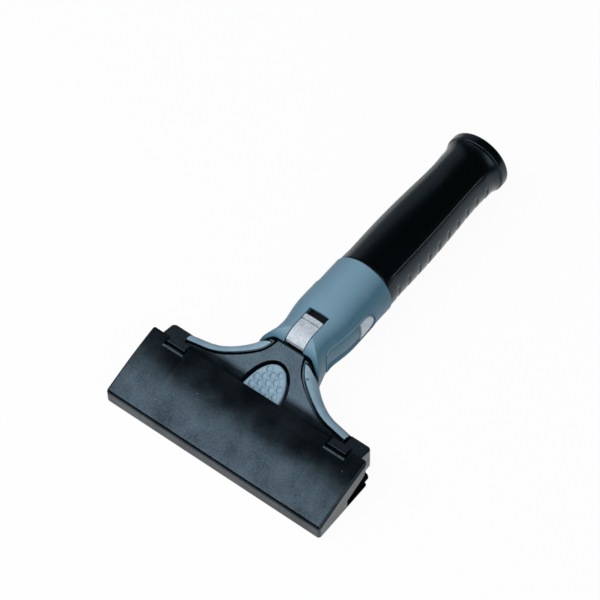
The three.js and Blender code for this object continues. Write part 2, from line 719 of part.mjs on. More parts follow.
const headBase = joined(
  without(headEnvelope.intersect(baseHeight), flangeRoom, ...screwRooms),
  pin,
  mirrored(pin),
  lug,
  mirrored(lug),
  knuckle,
);

// Soft inserts: the outer strip of the flared edge, kept short of the neck's black rim
const coverUnderZ = HEAD_SPLIT_Z + FIT;
const inwards = flareEdge.map(([x, y], k) => {
  const [x0, y0] = flareEdge[Math.max(k - 1, 0)];
  const [x1, y1] = flareEdge[Math.min(k + 1, flareEdge.length - 1)];
  const length = Math.hypot(x1 - x0, y1 - y0);
  return { x, y, nx: (y1 - y0) / length, ny: -(x1 - x0) / length };
});
function edgeStrip(width, endX, rim) {
  const inner = inwards.map(({ x, y, nx, ny }) => [x + width * nx, y + width * ny]);
  const outer = inwards.map(({ x, y, nx, ny }) => [x - INSERT_CUT_REACH * nx, y - INSERT_CUT_REACH * ny]);
  const strip = prism([...inner, ...outer.reverse()], coverUnderZ, REACH, ALONG_Z);
  const short = block(0, endX, 0, TOOL_LENGTH, 0, REACH);
  const neck = roller(NOSE_RADIUS + NOSE_GAP + rim, HINGE_Y, AXIS_Z, -REACH, REACH, 2 * ROUND_SIDES);
  return strip.intersect(short).subtract(neck);
}
const insertRight = flare.intersect(edgeStrip(INSERT_WIDTH, insertEndX, INSERT_NECK_RIM + FIT));
const insertRoom = edgeStrip(INSERT_WIDTH + FIT, insertEndX + FIT, INSERT_NECK_RIM);

// Cover: everything above the clamp and the split, with the pad's window and the clip blocks
const coverHeight = without(
  block(-REACH, REACH, 0, TOOL_LENGTH, clampTopZ + FIT, REACH),
  block(-REACH, REACH, BLADE_REAR_Y - FIT, seatStepY + FIT, 0, clampRimTopZ + FIT),
  block(-REACH, REACH, seatStepY, TOOL_LENGTH, 0, coverUnderZ),
);
const clipSide = [
  [CLIP_FRONT_Y, CLIP_ROOT_Z],
  [CLIP_REAR_Y, CLIP_ROOT_Z],
  [CLIP_REAR_Y, CLIP_REAR_TOP_Z],
  [CLIP_FRONT_Y + CLIP_CREST, CLIP_TOP_Z],
  [CLIP_FRONT_Y, CLIP_TOP_Z - CLIP_FRONT_FALL],
];
const clip = prism(clipSide, clipCentreX - CLIP_WIDTH / 2, clipCentreX + CLIP_WIDTH / 2, ALONG_X);
const pinRoom = post(PIN_RADIUS + FIT, PIN_X, PIN_Y, 0, seatZ + PIN_HEIGHT + FIT, SMALL_SIDES);
const headCover = without(
  joined(headEnvelope.intersect(coverHeight), clip, mirrored(clip)),
  insertRoom,
  mirrored(insertRoom),
  prism(padPlan(PAD_GROOVE), 0, REACH, ALONG_Z),
  flangeRoom,
  prism(webSide(NOSE_GAP), -FORK_HALF_WIDTH, FORK_HALF_WIDTH, ALONG_X),
  pinRoom,
  mirrored(pinRoom),
  ...screwRooms,
);

// Blade and clamp strip, both with holes for the locating pins
const bladeSide = [
  [BLADE_EDGE_Y, BLADE_UNDER_Z + BLADE_THICKNESS / 2],
  [BLADE_EDGE_Y + BLADE_BEVEL, BLADE_UNDER_Z],
  [BLADE_REAR_Y, BLADE_UNDER_Z],
  [BLADE_REAR_Y, BLADE_UNDER_Z + BLADE_THICKNESS],
  [BLADE_EDGE_Y + BLADE_BEVEL, BLADE_UNDER_Z + BLADE_THICKNESS],
];
const blade = without(
  prism(bladeSide, -BLADE_WIDTH / 2, BLADE_WIDTH / 2, ALONG_X),
  pinRoom,
  mirrored(pinRoom),
);
const clampSide = [
  [CLAMP_FRONT_Y, clampUnderZ],
  [clampRearY, clampUnderZ],
  [clampRearY, clampRimTopZ],
  [clampRearY - CLAMP_THICKNESS, clampRimTopZ],
  [clampRearY - CLAMP_THICKNESS, clampTopZ],
  [CLAMP_FRONT_Y, clampTopZ],
];
const bladeClamp = without(
  prism(clampSide, -clampHalfWidth, clampHalfWidth, ALONG_X),
  pinRoom,
  mirrored(pinRoom),
);

// Thumb button: plug with a flange that keeps it in the cover, and dimples on a hexagonal grid
const buttonFront = block(-REACH, REACH, PAD_FLANGE_FRONT_Y, TOOL_LENGTH, -REACH, REACH);
const buttonStem = joined(
  prism(padPlan(0), PAD_FLANGE_Z, REACH, ALONG_Z),
  prism(padPlan(PAD_FLANGE), PAD_FLANGE_Z, flangeTopZ, ALONG_Z),
).intersect(buttonFront);
const dimples = [];
const dimpleRow = (DIMPLE_PITCH * Math.sqrt(3)) / 2;
const dimpleBall = (DIMPLE_RADIUS ** 2 + DIMPLE_DEPTH ** 2) / (2 * DIMPLE_DEPTH);
const dimpleColumns = Math.ceil(PAD_HALF_WIDTH / DIMPLE_PITCH);
const padInner = DIMPLE_RADIUS + DIMPLE_MARGIN;
for (let row = 0; row * dimpleRow < PAD_REAR_LENGTH; row += 1) {
  const y = PAD_CENTRE_Y + row * dimpleRow;
  const shift = row % 2 === 0 ? 0 : DIMPLE_PITCH / 2;
  for (let column = -dimpleColumns; column <= dimpleColumns; column += 1) {
    const x = column * DIMPLE_PITCH + shift;
    const across = x / (PAD_HALF_WIDTH - padInner);
    const along = (y - PAD_CENTRE_Y) / (PAD_REAR_LENGTH - padInner);
    if (across ** 2 + along ** 2 <= 1) {
      const ball = new THREE.IcosahedronGeometry(dimpleBall, DIMPLE_FINENESS);
      ball.translate(x, y, headTopZ(y) + dimpleBall - DIMPLE_DEPTH);
      dimples.push(toSolid(ball));
    }
  }
}
const springSeatZ = PAD_FLANGE_Z + BUTTON_SPRING_SEAT;
const springRoom = post(
  BUTTON_SPRING_RADIUS + BUTTON_SPRING_WIRE + FIT,
  0,
  BUTTON_SPRING_Y,
  0,
  springSeatZ,
  SMALL_SIDES,
);
const thumbButton = without(
  joined(prism(padPlan(0), PAD_PLUG_Z, REACH, ALONG_Z), buttonStem).intersect(underHeadTop),
  springRoom,
  ...dimples,
);
const buttonSpringPlace = new THREE.Matrix4().makeTranslation(0, BUTTON_SPRING_Y, PAD_WELL_Z + FIT);
const buttonSpring = coil(
  'button_spring',
  BUTTON_SPRING_RADIUS,
  BUTTON_SPRING_WIRE,
  BUTTON_SPRING_CURLS,
  springSeatZ - PAD_WELL_Z - 2 * FIT,
  buttonSpringPlace,
);

// Cover screw with a cross drive, standing on its head
const screwBody = joined(
  post(SCREW_HEAD_RADIUS, 0, 0, 0, SCREW_HEAD_HEIGHT, SMALL_SIDES),
  post(SCREW_RADIUS, 0, 0, 0, SCREW_HEAD_HEIGHT + SCREW_LENGTH, SMALL_SIDES),
);
const driveReach = SCREW_HEAD_RADIUS - SCREW_DRIVE_WIDTH;
const driveHalf = SCREW_DRIVE_WIDTH / 2;
const coverScrew = without(
  screwBody,
  block(-driveReach, driveReach, -driveHalf, driveHalf, -SCREW_DRIVE_DEPTH, SCREW_DRIVE_DEPTH),
  block(-driveHalf, driveHalf, -driveReach, driveReach, -SCREW_DRIVE_DEPTH, SCREW_DRIVE_DEPTH),
);

// Collar: oval loft with a round nose, forked for the knuckle and bored for the core
function collarLoft(inset) {
  const sizes = new THREE.CatmullRomCurve3(
    COLLAR_STATIONS.map(({ along, width, rise }) => {
      const y = THREE.MathUtils.lerp(COLLAR_FRONT_Y, COLLAR_REAR_Y, along);
      const halfHeight = THREE.MathUtils.lerp(NOSE_RADIUS, COLLAR_HALF_HEIGHT, rise);
      return new THREE.Vector3(y, COLLAR_HALF_WIDTH * width - inset, halfHeight - inset);
    }),
    false,
    'catmullrom',
  );
  const shapes = new THREE.CatmullRomCurve3(
    COLLAR_STATIONS.map(({ along, square }) => new THREE.Vector3(along, square, 0)),
    false,
    'catmullrom',
  );
  const rings = [];
  for (let k = 0; k <= CURVE_STEPS; k += 1) {
    const size = sizes.getPoint(k / CURVE_STEPS);
    const power = 2 / shapes.getPoint(k / CURVE_STEPS).y;
    rings.push(
      Array.from({ length: ROUND_SIDES }, (_, i) => {
        const angle = (2 * Math.PI * (i + 1 / 2)) / ROUND_SIDES;
        const across = Math.cos(angle);
        const up = Math.sin(angle);
        return new THREE.Vector3(
          size.y * Math.sign(across) * Math.abs(across) ** power,
          size.x,
          AXIS_Z + size.z * Math.sign(up) * Math.abs(up) ** power,
        );
      }),
    );
  }
  return loft(rings);
}

const noseSide = new THREE.Shape();
noseSide.absarc(HINGE_Y, AXIS_Z, NOSE_RADIUS, Math.PI / 2, 1.5 * Math.PI, false);
noseSide.lineTo(TOOL_LENGTH, AXIS_Z - NOSE_RADIUS);
noseSide.lineTo(TOOL_LENGTH, AXIS_Z + NOSE_RADIUS);
const noseRound = joined(
  prism(noseSide, -REACH, REACH, ALONG_X),
  block(-REACH, REACH, HINGE_Y, TOOL_LENGTH, -REACH, REACH),
);
const collarEnvelope = collarLoft(0).intersect(noseRound);
const panelFloor = collarLoft(PANEL_DEPTH);

function poleButtonOutline(grow) {
  const outline = new THREE.Shape();
  const half = POLE_BUTTON_HALF_HEIGHT + grow;
  outline.moveTo(POLE_BUTTON_FRONT_Y - grow, AXIS_Z - half);
  outline.lineTo(POLE_BUTTON_CENTRE_Y, AXIS_Z - half);
  outline.absellipse(
    POLE_BUTTON_CENTRE_Y,
    AXIS_Z,
    POLE_BUTTON_REAR_Y - POLE_BUTTON_CENTRE_Y + grow,
    half,
    -Math.PI / 2,
    Math.PI / 2,
    false,
  );
  outline.lineTo(POLE_BUTTON_FRONT_Y - grow, AXIS_Z + half);
  return outline;
}

const panelOutline = new THREE.Shape();
panelOutline.moveTo(PANEL_FRONT_Y + PANEL_CORNER, AXIS_Z - PANEL_HALF_HEIGHT);
panelOutline.lineTo(POLE_BUTTON_CENTRE_Y, AXIS_Z - PANEL_HALF_HEIGHT);
panelOutline.absellipse(
  POLE_BUTTON_CENTRE_Y,
  AXIS_Z,
  POLE_BUTTON_REAR_Y - POLE_BUTTON_CENTRE_Y + PANEL_REAR_RIM,
  PANEL_HALF_HEIGHT,
  -Math.PI / 2,
  Math.PI / 2,
  false,
);
panelOutline.lineTo(PANEL_FRONT_Y + PANEL_CORNER, AXIS_Z + PANEL_HALF_HEIGHT);
panelOutline.quadraticCurveTo(
  PANEL_FRONT_Y,
  AXIS_Z + PANEL_HALF_HEIGHT,
  PANEL_FRONT_Y,
  AXIS_Z + PANEL_HALF_HEIGHT - PANEL_CORNER,
);
panelOutline.lineTo(PANEL_FRONT_Y, AXIS_Z - PANEL_HALF_HEIGHT + PANEL_CORNER);
panelOutline.quadraticCurveTo(
  PANEL_FRONT_Y,
  AXIS_Z - PANEL_HALF_HEIGHT,
  PANEL_FRONT_Y + PANEL_CORNER,
  AXIS_Z - PANEL_HALF_HEIGHT,
);
const panelCut = prism(panelOutline, POLE_WELL_X, REACH, ALONG_X).subtract(panelFloor);
const earOuterX = POLE_BUTTON_INNER_X + POLE_BUTTON_EAR_DEPTH;
const poleButtonRoom = joined(
  prism(poleButtonOutline(FIT), POLE_WELL_X, REACH, ALONG_X),
  prism(poleButtonOutline(POLE_BUTTON_EAR + FIT), POLE_WELL_X, earOuterX + FIT, ALONG_X),
);
const slideRailTop = SLIDE_UNDER_Z + SLIDE_RAIL_HEIGHT;
const railHalf = knuckleHalf + SLIDE_RAIL_REACH;
const coreBoreRadius = CORE_RADIUS + FIT;
const coreBore = turned([
  [0, COLLAR_BORE_Y],
  [coreBoreRadius, COLLAR_BORE_Y],
  [coreBoreRadius, GRIP_FRONT_Y + FIT],
  [0, GRIP_FRONT_Y + FIT],
]);
const collar = without(
  collarEnvelope,
  block(-FORK_HALF_WIDTH, FORK_HALF_WIDTH, 0, SLIDE_TRAVEL_END_Y, -REACH, REACH),
  block(
    -FORK_HALF_WIDTH,
    FORK_HALF_WIDTH,
    SLIDE_REAR_Y,
    CHAMBER_REAR_Y,
    TOOTH_UNDER_Z - 2 * FIT,
    CHAMBER_TOP_Z,
  ),
  block(
    -railHalf - FIT,
    railHalf + FIT,
    SLIDE_RAIL_FRONT_Y - FIT,
    SLIDE_TAIL_Y + SLIDE_TRAVEL_END_Y - SLIDE_REAR_Y,
    SLIDE_UNDER_Z,
    slideRailTop + 2 * FIT,
  ),
  roller(HINGE_PIN_RADIUS + FIT, HINGE_Y, AXIS_Z, -REACH, HINGE_PIN_HALF_LENGTH + FIT, SMALL_SIDES),
  coreBore,
  panelCut,
  mirrored(panelCut),
  poleButtonRoom,
  mirrored(poleButtonRoom),
);

// Angle slide: crowned like the collar, with side rails, a low tail and the locking tooth
const slideSide = [
  [SLIDE_FRONT_Y, SLIDE_UNDER_Z],
  [SLIDE_TAIL_Y, SLIDE_UNDER_Z],
  [SLIDE_TAIL_Y, SLIDE_TAIL_Z],
  [SLIDE_REAR_Y, SLIDE_TAIL_Z],
  [SLIDE_REAR_Y, REACH],
  [SLIDE_FRONT_Y, REACH],
];
const toothSide = [
  [TOOTH_ROOT_Y, SLIDE_UNDER_Z + SLIDE_RAIL_HEIGHT],
  [TOOTH_ROOT_Y, TOOTH_TIP_Z + TOOTH_SLANT],
  [TOOTH_TIP_Y, TOOTH_TIP_Z],
  [TOOTH_ROOT_Y, TOOTH_UNDER_Z],
  [SLIDE_TAIL_Y, TOOTH_UNDER_Z],
  [SLIDE_TAIL_Y, SLIDE_UNDER_Z + SLIDE_RAIL_HEIGHT],
];
const slideRails = block(
  -railHalf,
  railHalf,
  SLIDE_RAIL_FRONT_Y,
  SLIDE_TAIL_Y,
  SLIDE_UNDER_Z + FIT,
  slideRailTop + FIT,
);
const slideGroove = block(
  -REACH,
  REACH,
  SLIDE_GROOVE_Y - SLIDE_GROOVE / 2,
  SLIDE_GROOVE_Y + SLIDE_GROOVE / 2,
  AXIS_Z + NOSE_RADIUS - SLIDE_GROOVE,
  REACH,
);
const angleSlide = without(
  joined(
    prism(slideSide, -knuckleHalf, knuckleHalf, ALONG_X).intersect(collarEnvelope),
    prism(toothSide, -knuckleHalf, knuckleHalf, ALONG_X),
    slideRails,
  ),
  slideGroove,
);
const slideSpringPlace = new THREE.Matrix4()
  .makeTranslation(0, SLIDE_TAIL_Y + FIT, SLIDE_SPRING_Z)
  .multiply(ALONG_Y);
const slideSpring = coil(
  'slide_spring',
  SLIDE_SPRING_RADIUS,
  SLIDE_SPRING_WIRE,
  SLIDE_SPRING_CURLS,
  CHAMBER_REAR_Y - SLIDE_TAIL_Y - 2 * FIT,
  slideSpringPlace,
);
const hingePin = roller(
  HINGE_PIN_RADIUS,
  HINGE_Y,
  AXIS_Z,
  -HINGE_PIN_HALF_LENGTH,
  HINGE_PIN_HALF_LENGTH,
  SMALL_SIDES,
);

// Pole buttons and the bowed leaf springs behind them
const buttonFace = collarLoft(PANEL_DEPTH - POLE_BUTTON_PROUD);
const poleButtonRight = joined(
  prism(poleButtonOutline(0), POLE_BUTTON_INNER_X, REACH, ALONG_X).intersect(buttonFace),
  prism(poleButtonOutline(POLE_BUTTON_EAR), POLE_BUTTON_INNER_X, earOuterX, ALONG_X),
);
const springFootX = POLE_WELL_X + FIT;
const springMiddleY = (POLE_BUTTON_FRONT_Y + POLE_BUTTON_REAR_Y) / 2;
const bow = (sign, lift) =>
  Array.from({ length: CURL_STEPS + 1 }, (_, k) => {
    const along = sign * (1 - (2 * k) / CURL_STEPS);
    const x = springFootX + lift + (POLE_SPRING_BOW - POLE_SPRING_THICKNESS) * (1 - along ** 2);
    return [x, springMiddleY + POLE_SPRING_HALF_LENGTH * along];
  });
const springOutline = [...bow(1, POLE_SPRING_THICKNESS), ...bow(-1, 0)];
const poleSpringRight = prism(
  springOutline,
  AXIS_Z - POLE_SPRING_HALF_HEIGHT,
  AXIS_Z + POLE_SPRING_HALF_HEIGHT,
  ALONG_Z,
);

// Core tube: spigot in the collar, wall, tapered socket open at the butt
const coreTube = turned([
  [CORE_SPIGOT_RADIUS, CORE_FRONT_Y],
  [CORE_RADIUS, CORE_FRONT_Y],
  [CORE_RADIUS, CORE_REAR_Y],
  [SOCKET_MOUTH_RADIUS, CORE_REAR_Y],
  [SOCKET_END_RADIUS, SOCKET_END_Y],
  [0, SOCKET_END_Y],
  [0, CORE_WALL_FRONT_Y],
  [CORE_SPIGOT_RADIUS, CORE_WALL_FRONT_Y],
  [CORE_SPIGOT_RADIUS, CORE_FRONT_Y],
]);
const coreWindow = prism(
  poleButtonOutline(POLE_BUTTON_EAR + 2 * FIT),
  POLE_WELL_X - FIT,
  REACH,
  ALONG_X,
);
const handleCore = without(coreTube, coreWindow, mirrored(coreWindow));

// Grip sleeve: full barrel above, stepped in below the side edges, grooved underneath
const gripBarrel = new THREE.SplineCurve(
  GRIP_BARREL.map((share, k) => {
    const y = GRIP_FRONT_Y + ((GRIP_WAIST_Y - GRIP_FRONT_Y) * k) / (GRIP_BARREL.length - 1);
    return new THREE.Vector2(GRIP_RADIUS * share, y);
  }),
);

function gripRadius(y) {
  const share = (y - GRIP_FRONT_Y) / (GRIP_WAIST_Y - GRIP_FRONT_Y);
  return gripBarrel.getPoint(THREE.MathUtils.clamp(share, 0, 1)).x;
}

function gripProfile(step, depth) {
  const points = [[gripRadius(GRIP_FRONT_Y), GRIP_FRONT_Y]];
  for (let k = 0; k < GROOVE_COUNT; k += 1) {
    const y = GROOVE_FIRST_Y + k * GROOVE_PITCH;
    const radius = gripRadius(y) - step;
    if (depth > 0) {
      points.push([radius, y - GROOVE_WIDTH], [radius - depth, y], [radius, y + GROOVE_WIDTH]);
    } else {
      points.push([radius, y]);
    }
  }
  const stepRadius = FLANGE_RADIUS - FLANGE_STEP;
  const waistRadius = gripRadius(GRIP_WAIST_Y);
  for (let k = 1; k <= ROLL_STEPS; k += 1) {
    const share = k / ROLL_STEPS;
    const y = GRIP_WAIST_Y + (FLANGE_FRONT_Y - GRIP_WAIST_Y) * share;
    points.push([waistRadius + (stepRadius - waistRadius) * share ** FLANGE_SWEEP, y]);
  }
  points.push([stepRadius, FLANGE_FRONT_Y + FLANGE_STEP]);
  points.push([FLANGE_RADIUS, FLANGE_FRONT_Y + FLANGE_STEP]);
  points.push([FLANGE_RADIUS, TOOL_LENGTH - FLANGE_ROUND]);
  points.push([FLANGE_RADIUS - FLANGE_ROUND, TOOL_LENGTH]);
  points.push([CORE_RADIUS + FIT, TOOL_LENGTH]);
  points.push([CORE_RADIUS + FIT, GRIP_FRONT_Y]);
  points.push(points[0]);
  return points;
}

const sideRun = Math.cos(GRIP_SIDE_ANGLE) * REACH;
const sideLift = AXIS_Z + Math.sin(GRIP_SIDE_ANGLE) * REACH;
const topSector = prism(
  [
    [AXIS_Z, 0],
    [sideLift, sideRun],
    [sideLift, -sideRun],
  ],
  0,
  TOOL_LENGTH,
  ALONG_Y,
);
const gripUnder = block(-REACH, REACH, 0, TOOL_LENGTH, -REACH, GROOVE_TOP_Z);
const gripSleeve = joined(
  turned(gripProfile(GRIP_SIDE_STEP, GROOVE_DEPTH)).intersect(gripUnder),
  turned(gripProfile(GRIP_SIDE_STEP, 0)).subtract(gripUnder),
  turned(gripProfile(0, 0)).intersect(topSector),
);

// Colours and finishes
const black = { color: 0x23272b, roughness: 0.45, metalness: 0 };
const rubber = { color: 0x14171a, roughness: 0.6, metalness: 0 };
const blueGrey = { color: 0x6f8ea3, roughness: 0.55, metalness: 0 };
const softBlue = { color: 0x7fa0b4, roughness: 0.7, metalness: 0 };
const lightGrey = { color: 0xcdd0da, roughness: 0.4, metalness: 0 };
const steel = { color: 0xb9bdc2, roughness: 0.28, metalness: 1 };
const coreGrey = { color: 0x3a3f44, roughness: 0.5, metalness: 0 };

const scraper = new THREE.Group();
scraper.position.y = -TOOL_LENGTH / 2;
const handle = new THREE.Group();
const head = new THREE.Group();
scraper.add(handle, head);

function piece(group, name, solid, finish) {
  const mesh = new THREE.Mesh(toGeometry(solid), new THREE.MeshStandardMaterial(finish));
  mesh.name = name;
  group.add(mesh);
  return mesh;
}

piece(handle, 'collar', collar, blueGrey);
piece(handle, 'handle_core', handleCore, coreGrey);
piece(handle, 'grip_sleeve', gripSleeve, rubber);
piece(handle, 'hinge_pin', hingePin, steel);
piece(handle, 'angle_slide', angleSlide, lightGrey);
piece(handle, 'slide_spring', slideSpring, steel);
piece(handle, 'pole_button_right', poleButtonRight, lightGrey);
piece(handle, 'pole_button_left', mirrored(poleButtonRight), lightGrey);
piece(handle, 'pole_spring_right', poleSpringRight, steel);
piece(handle, 'pole_spring_left', mirrored(poleSpringRight), steel);
piece(head, 'head_base', headBase, black);
piece(head, 'head_cover', headCover, black);
piece(head, 'insert_right', insertRight, softBlue);
piece(head, 'insert_left', mirrored(insertRight), softBlue);
piece(head, 'blade', blade, steel);
piece(head, 'blade_clamp', bladeClamp, steel);
piece(head, 'thumb_button', thumbButton, softBlue);
piece(head, 'button_spring', buttonSpring, steel);
screwPlaces.forEach(([x, y], k) => {
  const screw = piece(head, `cover_screw_${k + 1}`, coverScrew, steel);
  screw.position.set(x, y, screwHeadZ);
});
piece(head, 'blade_cap', bladeCap, black);

export default scraper;
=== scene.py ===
import math

import bmesh
import bpy
from mathutils import Matrix, Vector


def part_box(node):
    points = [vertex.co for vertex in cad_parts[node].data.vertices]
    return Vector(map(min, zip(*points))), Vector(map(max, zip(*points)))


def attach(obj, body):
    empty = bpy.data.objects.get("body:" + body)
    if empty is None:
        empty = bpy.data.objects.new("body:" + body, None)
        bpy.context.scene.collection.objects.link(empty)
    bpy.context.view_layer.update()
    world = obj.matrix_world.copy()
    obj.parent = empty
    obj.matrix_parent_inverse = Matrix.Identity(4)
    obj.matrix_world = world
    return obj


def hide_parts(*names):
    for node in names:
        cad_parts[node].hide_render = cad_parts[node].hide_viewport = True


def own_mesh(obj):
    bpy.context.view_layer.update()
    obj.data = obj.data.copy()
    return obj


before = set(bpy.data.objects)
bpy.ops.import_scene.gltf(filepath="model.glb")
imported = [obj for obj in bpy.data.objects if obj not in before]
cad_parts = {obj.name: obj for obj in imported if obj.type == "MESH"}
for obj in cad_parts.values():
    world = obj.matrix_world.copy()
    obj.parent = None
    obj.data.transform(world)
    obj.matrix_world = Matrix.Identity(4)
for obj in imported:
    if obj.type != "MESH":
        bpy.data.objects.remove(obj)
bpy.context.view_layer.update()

# Core tube of the handle: one long injection moulding in dark nylon, pushed into the collar in front.
# Its bore is a slow taper that a pole's end wedges into, and its rear rim shows inside the butt.
MM = 0.001
WELD, CLEAN = 0.0005 * MM, 0.002 * MM
TOOL_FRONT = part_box("blade_cap")[0].y


def at(x, y, z):
    """A place across the tool, along it from the cap's front and above the table, in millimetres."""
    return Vector((x * MM, TOOL_FRONT + y * MM, z * MM))


def room_of(node):
    """A CAD node's lowest and highest corners, in the same millimetres."""
    return [(corner.x / MM, (corner.y - TOOL_FRONT) / MM, corner.z / MM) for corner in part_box(node)]


def new_piece(name, corners, faces):
    """A mesh object from corners in millimetres, with its faces turned outwards."""
    mesh = bpy.data.meshes.new(name)
    mesh.from_pydata([at(*corner) for corner in corners], [], faces)
    shape = bmesh.new()
    shape.from_mesh(mesh)
    bmesh.ops.remove_doubles(shape, verts=shape.verts, dist=WELD)
    bmesh.ops.recalc_face_normals(shape, faces=shape.faces)
    shape.to_mesh(mesh)
    shape.free()
    piece = bpy.data.objects.new(name, mesh)
    bpy.context.scene.collection.objects.link(piece)
    return piece


def skin(name, rings, looped=False):
    """A skin over rings of corners: a tube shut by a face at each end, or looped back to its start."""
    count, rows = len(rings[0]), len(rings)
    faces = []
    for r in range(rows if looped else rows - 1):
        here, there = r * count, (r + 1) % rows * count
        for i in range(count):
            j = (i + 1) % count
            faces.append((here + i, here + j, there + j, there + i))
    if not looped:
        faces += [tuple(range(count)), tuple(range((rows - 1) * count, rows * count))]
    return new_piece(name, [corner for ring in rings for corner in ring], faces)


pin_low, pin_high = room_of("hinge_pin")
AXIS_Z = (pin_low[2] + pin_high[2]) / 2


def turned(name, profile, sides=96):
    """A closed profile of (radius, y) turned around the handle's centre line."""
    turns = [2 * math.pi * k / sides for k in range(sides)]
    rings = []
    for radius, y in profile:
        rings.append([(radius * math.sin(t), y, AXIS_Z + radius * math.cos(t)) for t in turns])
    return skin(name, rings, looped=True)


def prism(name, outline, low, high, along):
    """An outline pushed along x as (y, z), along y as (z, x) or along z as (x, y)."""
    def place(u, v, w):
        return {"x": (w, u, v), "y": (v, w, u), "z": (u, v, w)}[along]
    return skin(name, [[place(u, v, w) for u, v in outline] for w in (low, high)])


def block(name, low, high):
    """A plain block between two corners."""
    outline = [(low[0], low[1]), (high[0], low[1]), (high[0], high[1]), (low[0], high[1])]
    return prism(name, outline, low[2], high[2], "z")


def side_span(side, inner, outer):
    """The stretch between two distances from the tool's middle, on the right (1) or the left (-1)."""
    return sorted((side * inner, side * outer))


def settle(piece):
    """Turns a piece's modifiers into mesh."""
    seen = piece.evaluated_get(bpy.context.evaluated_depsgraph_get())
    shaped = bpy.data.meshes.new_from_object(seen)
    piece.modifiers.clear()
    piece.data = shaped
    return piece


def carve(piece, cutter, operation="DIFFERENCE"):
    """Cuts a piece by another one, joins it or keeps what both share, and uses the other one up."""
    cut = piece.modifiers.new("cut", "BOOLEAN")
    cut.operation = operation
    cut.solver = "MANIFOLD"
    cut.object = cutter
    settle(piece)
    bpy.data.objects.remove(cutter)
    return piece


def smooth(piece, angle=32):
    """Clears slivers left by cuts, and shades smooth where faces meet at less than an angle in degrees."""
    shape = bmesh.new()
    shape.from_mesh(piece.data)
    bmesh.ops.remove_doubles(shape, verts=shape.verts, dist=CLEAN)
    bmesh.ops.dissolve_degenerate(shape, edges=shape.edges, dist=CLEAN)
    shape.to_mesh(piece.data)
    shape.free()
    piece.data.shade_smooth()
    piece.data.set_sharp_from_angle(angle=math.radians(angle))
    return piece


(_, CORE_FRONT, _), (CORE_RADIUS, CORE_REAR, _) = room_of("handle_core")
CORE_SPIGOT_BORE = 9
CORE_WALL_FRONT = 94.5
CORE_EDGE = 0.3
SOCKET_END, SOCKET_END_RADIUS = 97, 8.8
SOCKET_MOUTH_RADIUS, SOCKET_MOUTH_EDGE = 10.3, 0.5
SOCKET_LEAD_IN = 1.2
CORE_WINDOW_INNER, CORE_WINDOW_OUTER = 7.7, 20
CORE_WINDOW_FRONT, CORE_WINDOW_REAR = 80, 94.2
CORE_WINDOW_LOW, CORE_WINDOW_HIGH = 8, 22
core = turned("core_tube", [
    (CORE_SPIGOT_BORE, CORE_FRONT),
    (CORE_RADIUS, CORE_FRONT),
    (CORE_RADIUS, CORE_REAR - CORE_EDGE),
    (CORE_RADIUS - CORE_EDGE, CORE_REAR),
    (SOCKET_MOUTH_RADIUS + SOCKET_MOUTH_EDGE, CORE_REAR),
    (SOCKET_MOUTH_RADIUS, CORE_REAR - SOCKET_LEAD_IN),
    (SOCKET_END_RADIUS, SOCKET_END + SOCKET_LEAD_IN),
    (SOCKET_END_RADIUS - SOCKET_LEAD_IN, SOCKET_END),
    (0, SOCKET_END),
    (0, CORE_WALL_FRONT),
    (CORE_SPIGOT_BORE, CORE_WALL_FRONT),
])
for side in (1, -1):
    left, right = side_span(side, CORE_WINDOW_INNER, CORE_WINDOW_OUTER)
    carve(core, block("core_window", (left, CORE_WINDOW_FRONT, CORE_WINDOW_LOW),
                      (right, CORE_WINDOW_REAR, CORE_WINDOW_HIGH)))
smooth(core)


def linear(code):
    """An sRGB hex colour as the linear colour that shaders take."""
    parts = [int(code[k:k + 2], 16) / 255 for k in (1, 3, 5)]
    return tuple(p / 12.92 if p <= 0.04045 else ((p + 0.055) / 1.055) ** 2.4 for p in parts) + (1,)


def wire(node, inputs):
    """Fills a node's inputs with plain values, sockets, or the first output in use of other nodes."""
    for name, value in inputs.items():
        if isinstance(value, bpy.types.Node):
            value = next(socket for socket in value.outputs if socket.enabled)
        if isinstance(value, bpy.types.NodeSocket):
            node.id_data.links.new(value, node.inputs[name])
        else:
            node.inputs[name].default_value = value


def add(tree, kind, inputs=None, **settings):
    """Adds a shader node with its settings and links."""
    node = tree.nodes.new("ShaderNode" + kind)
    for name, value in settings.items():
        setattr(node, name, value)
    wire(node, inputs or {})
    return node


def new_material(name, surface):
    """A material with one Principled shader, whose even values are set on its own sockets."""
    material = bpy.data.materials.new(name)
    material.use_nodes = True
    shader = material.node_tree.nodes["Principled BSDF"]
    wire(shader, surface)
    return material, material.node_tree, shader


def wear(piece, material, body, slot, *nodes):
    """Gives a piece its material, the body that it moves with and the CAD nodes that it stands for."""
    even = piece.modifiers.new("even", "WEIGHTED_NORMAL")
    even.keep_sharp = True
    settle(piece)
    piece.data.materials.clear()
    piece.data.materials.append(material)
    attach(piece, body)
    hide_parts(*nodes)


# Glass-filled nylon from a spark-eroded mould: an even dark grey with a dry grain. The real grain is finer
# than a tenth of a millimetre, and is drawn coarser so that it shows.
NYLON_GRAIN = 0.7
nylon, tree, shader = new_material("glass_filled_nylon_moulded", {"IOR": 1.53})
spot = add(tree, "TexCoord").outputs["Object"]
grain = add(tree, "TexNoise", {"Vector": spot, "Scale": 1 / (NYLON_GRAIN * MM), "Detail": 3})
tone = add(tree, "Mix", {"Factor": grain, "A": linear("#060708"), "B": linear("#0c0e10")}, data_type="RGBA")
rough = add(tree, "MapRange", {"Value": grain, "To Min": 0.42, "To Max": 0.6})
wire(shader, {"Base Color": tone, "Roughness": rough})
wear(core, nylon, "handle", "core", "handle_core")

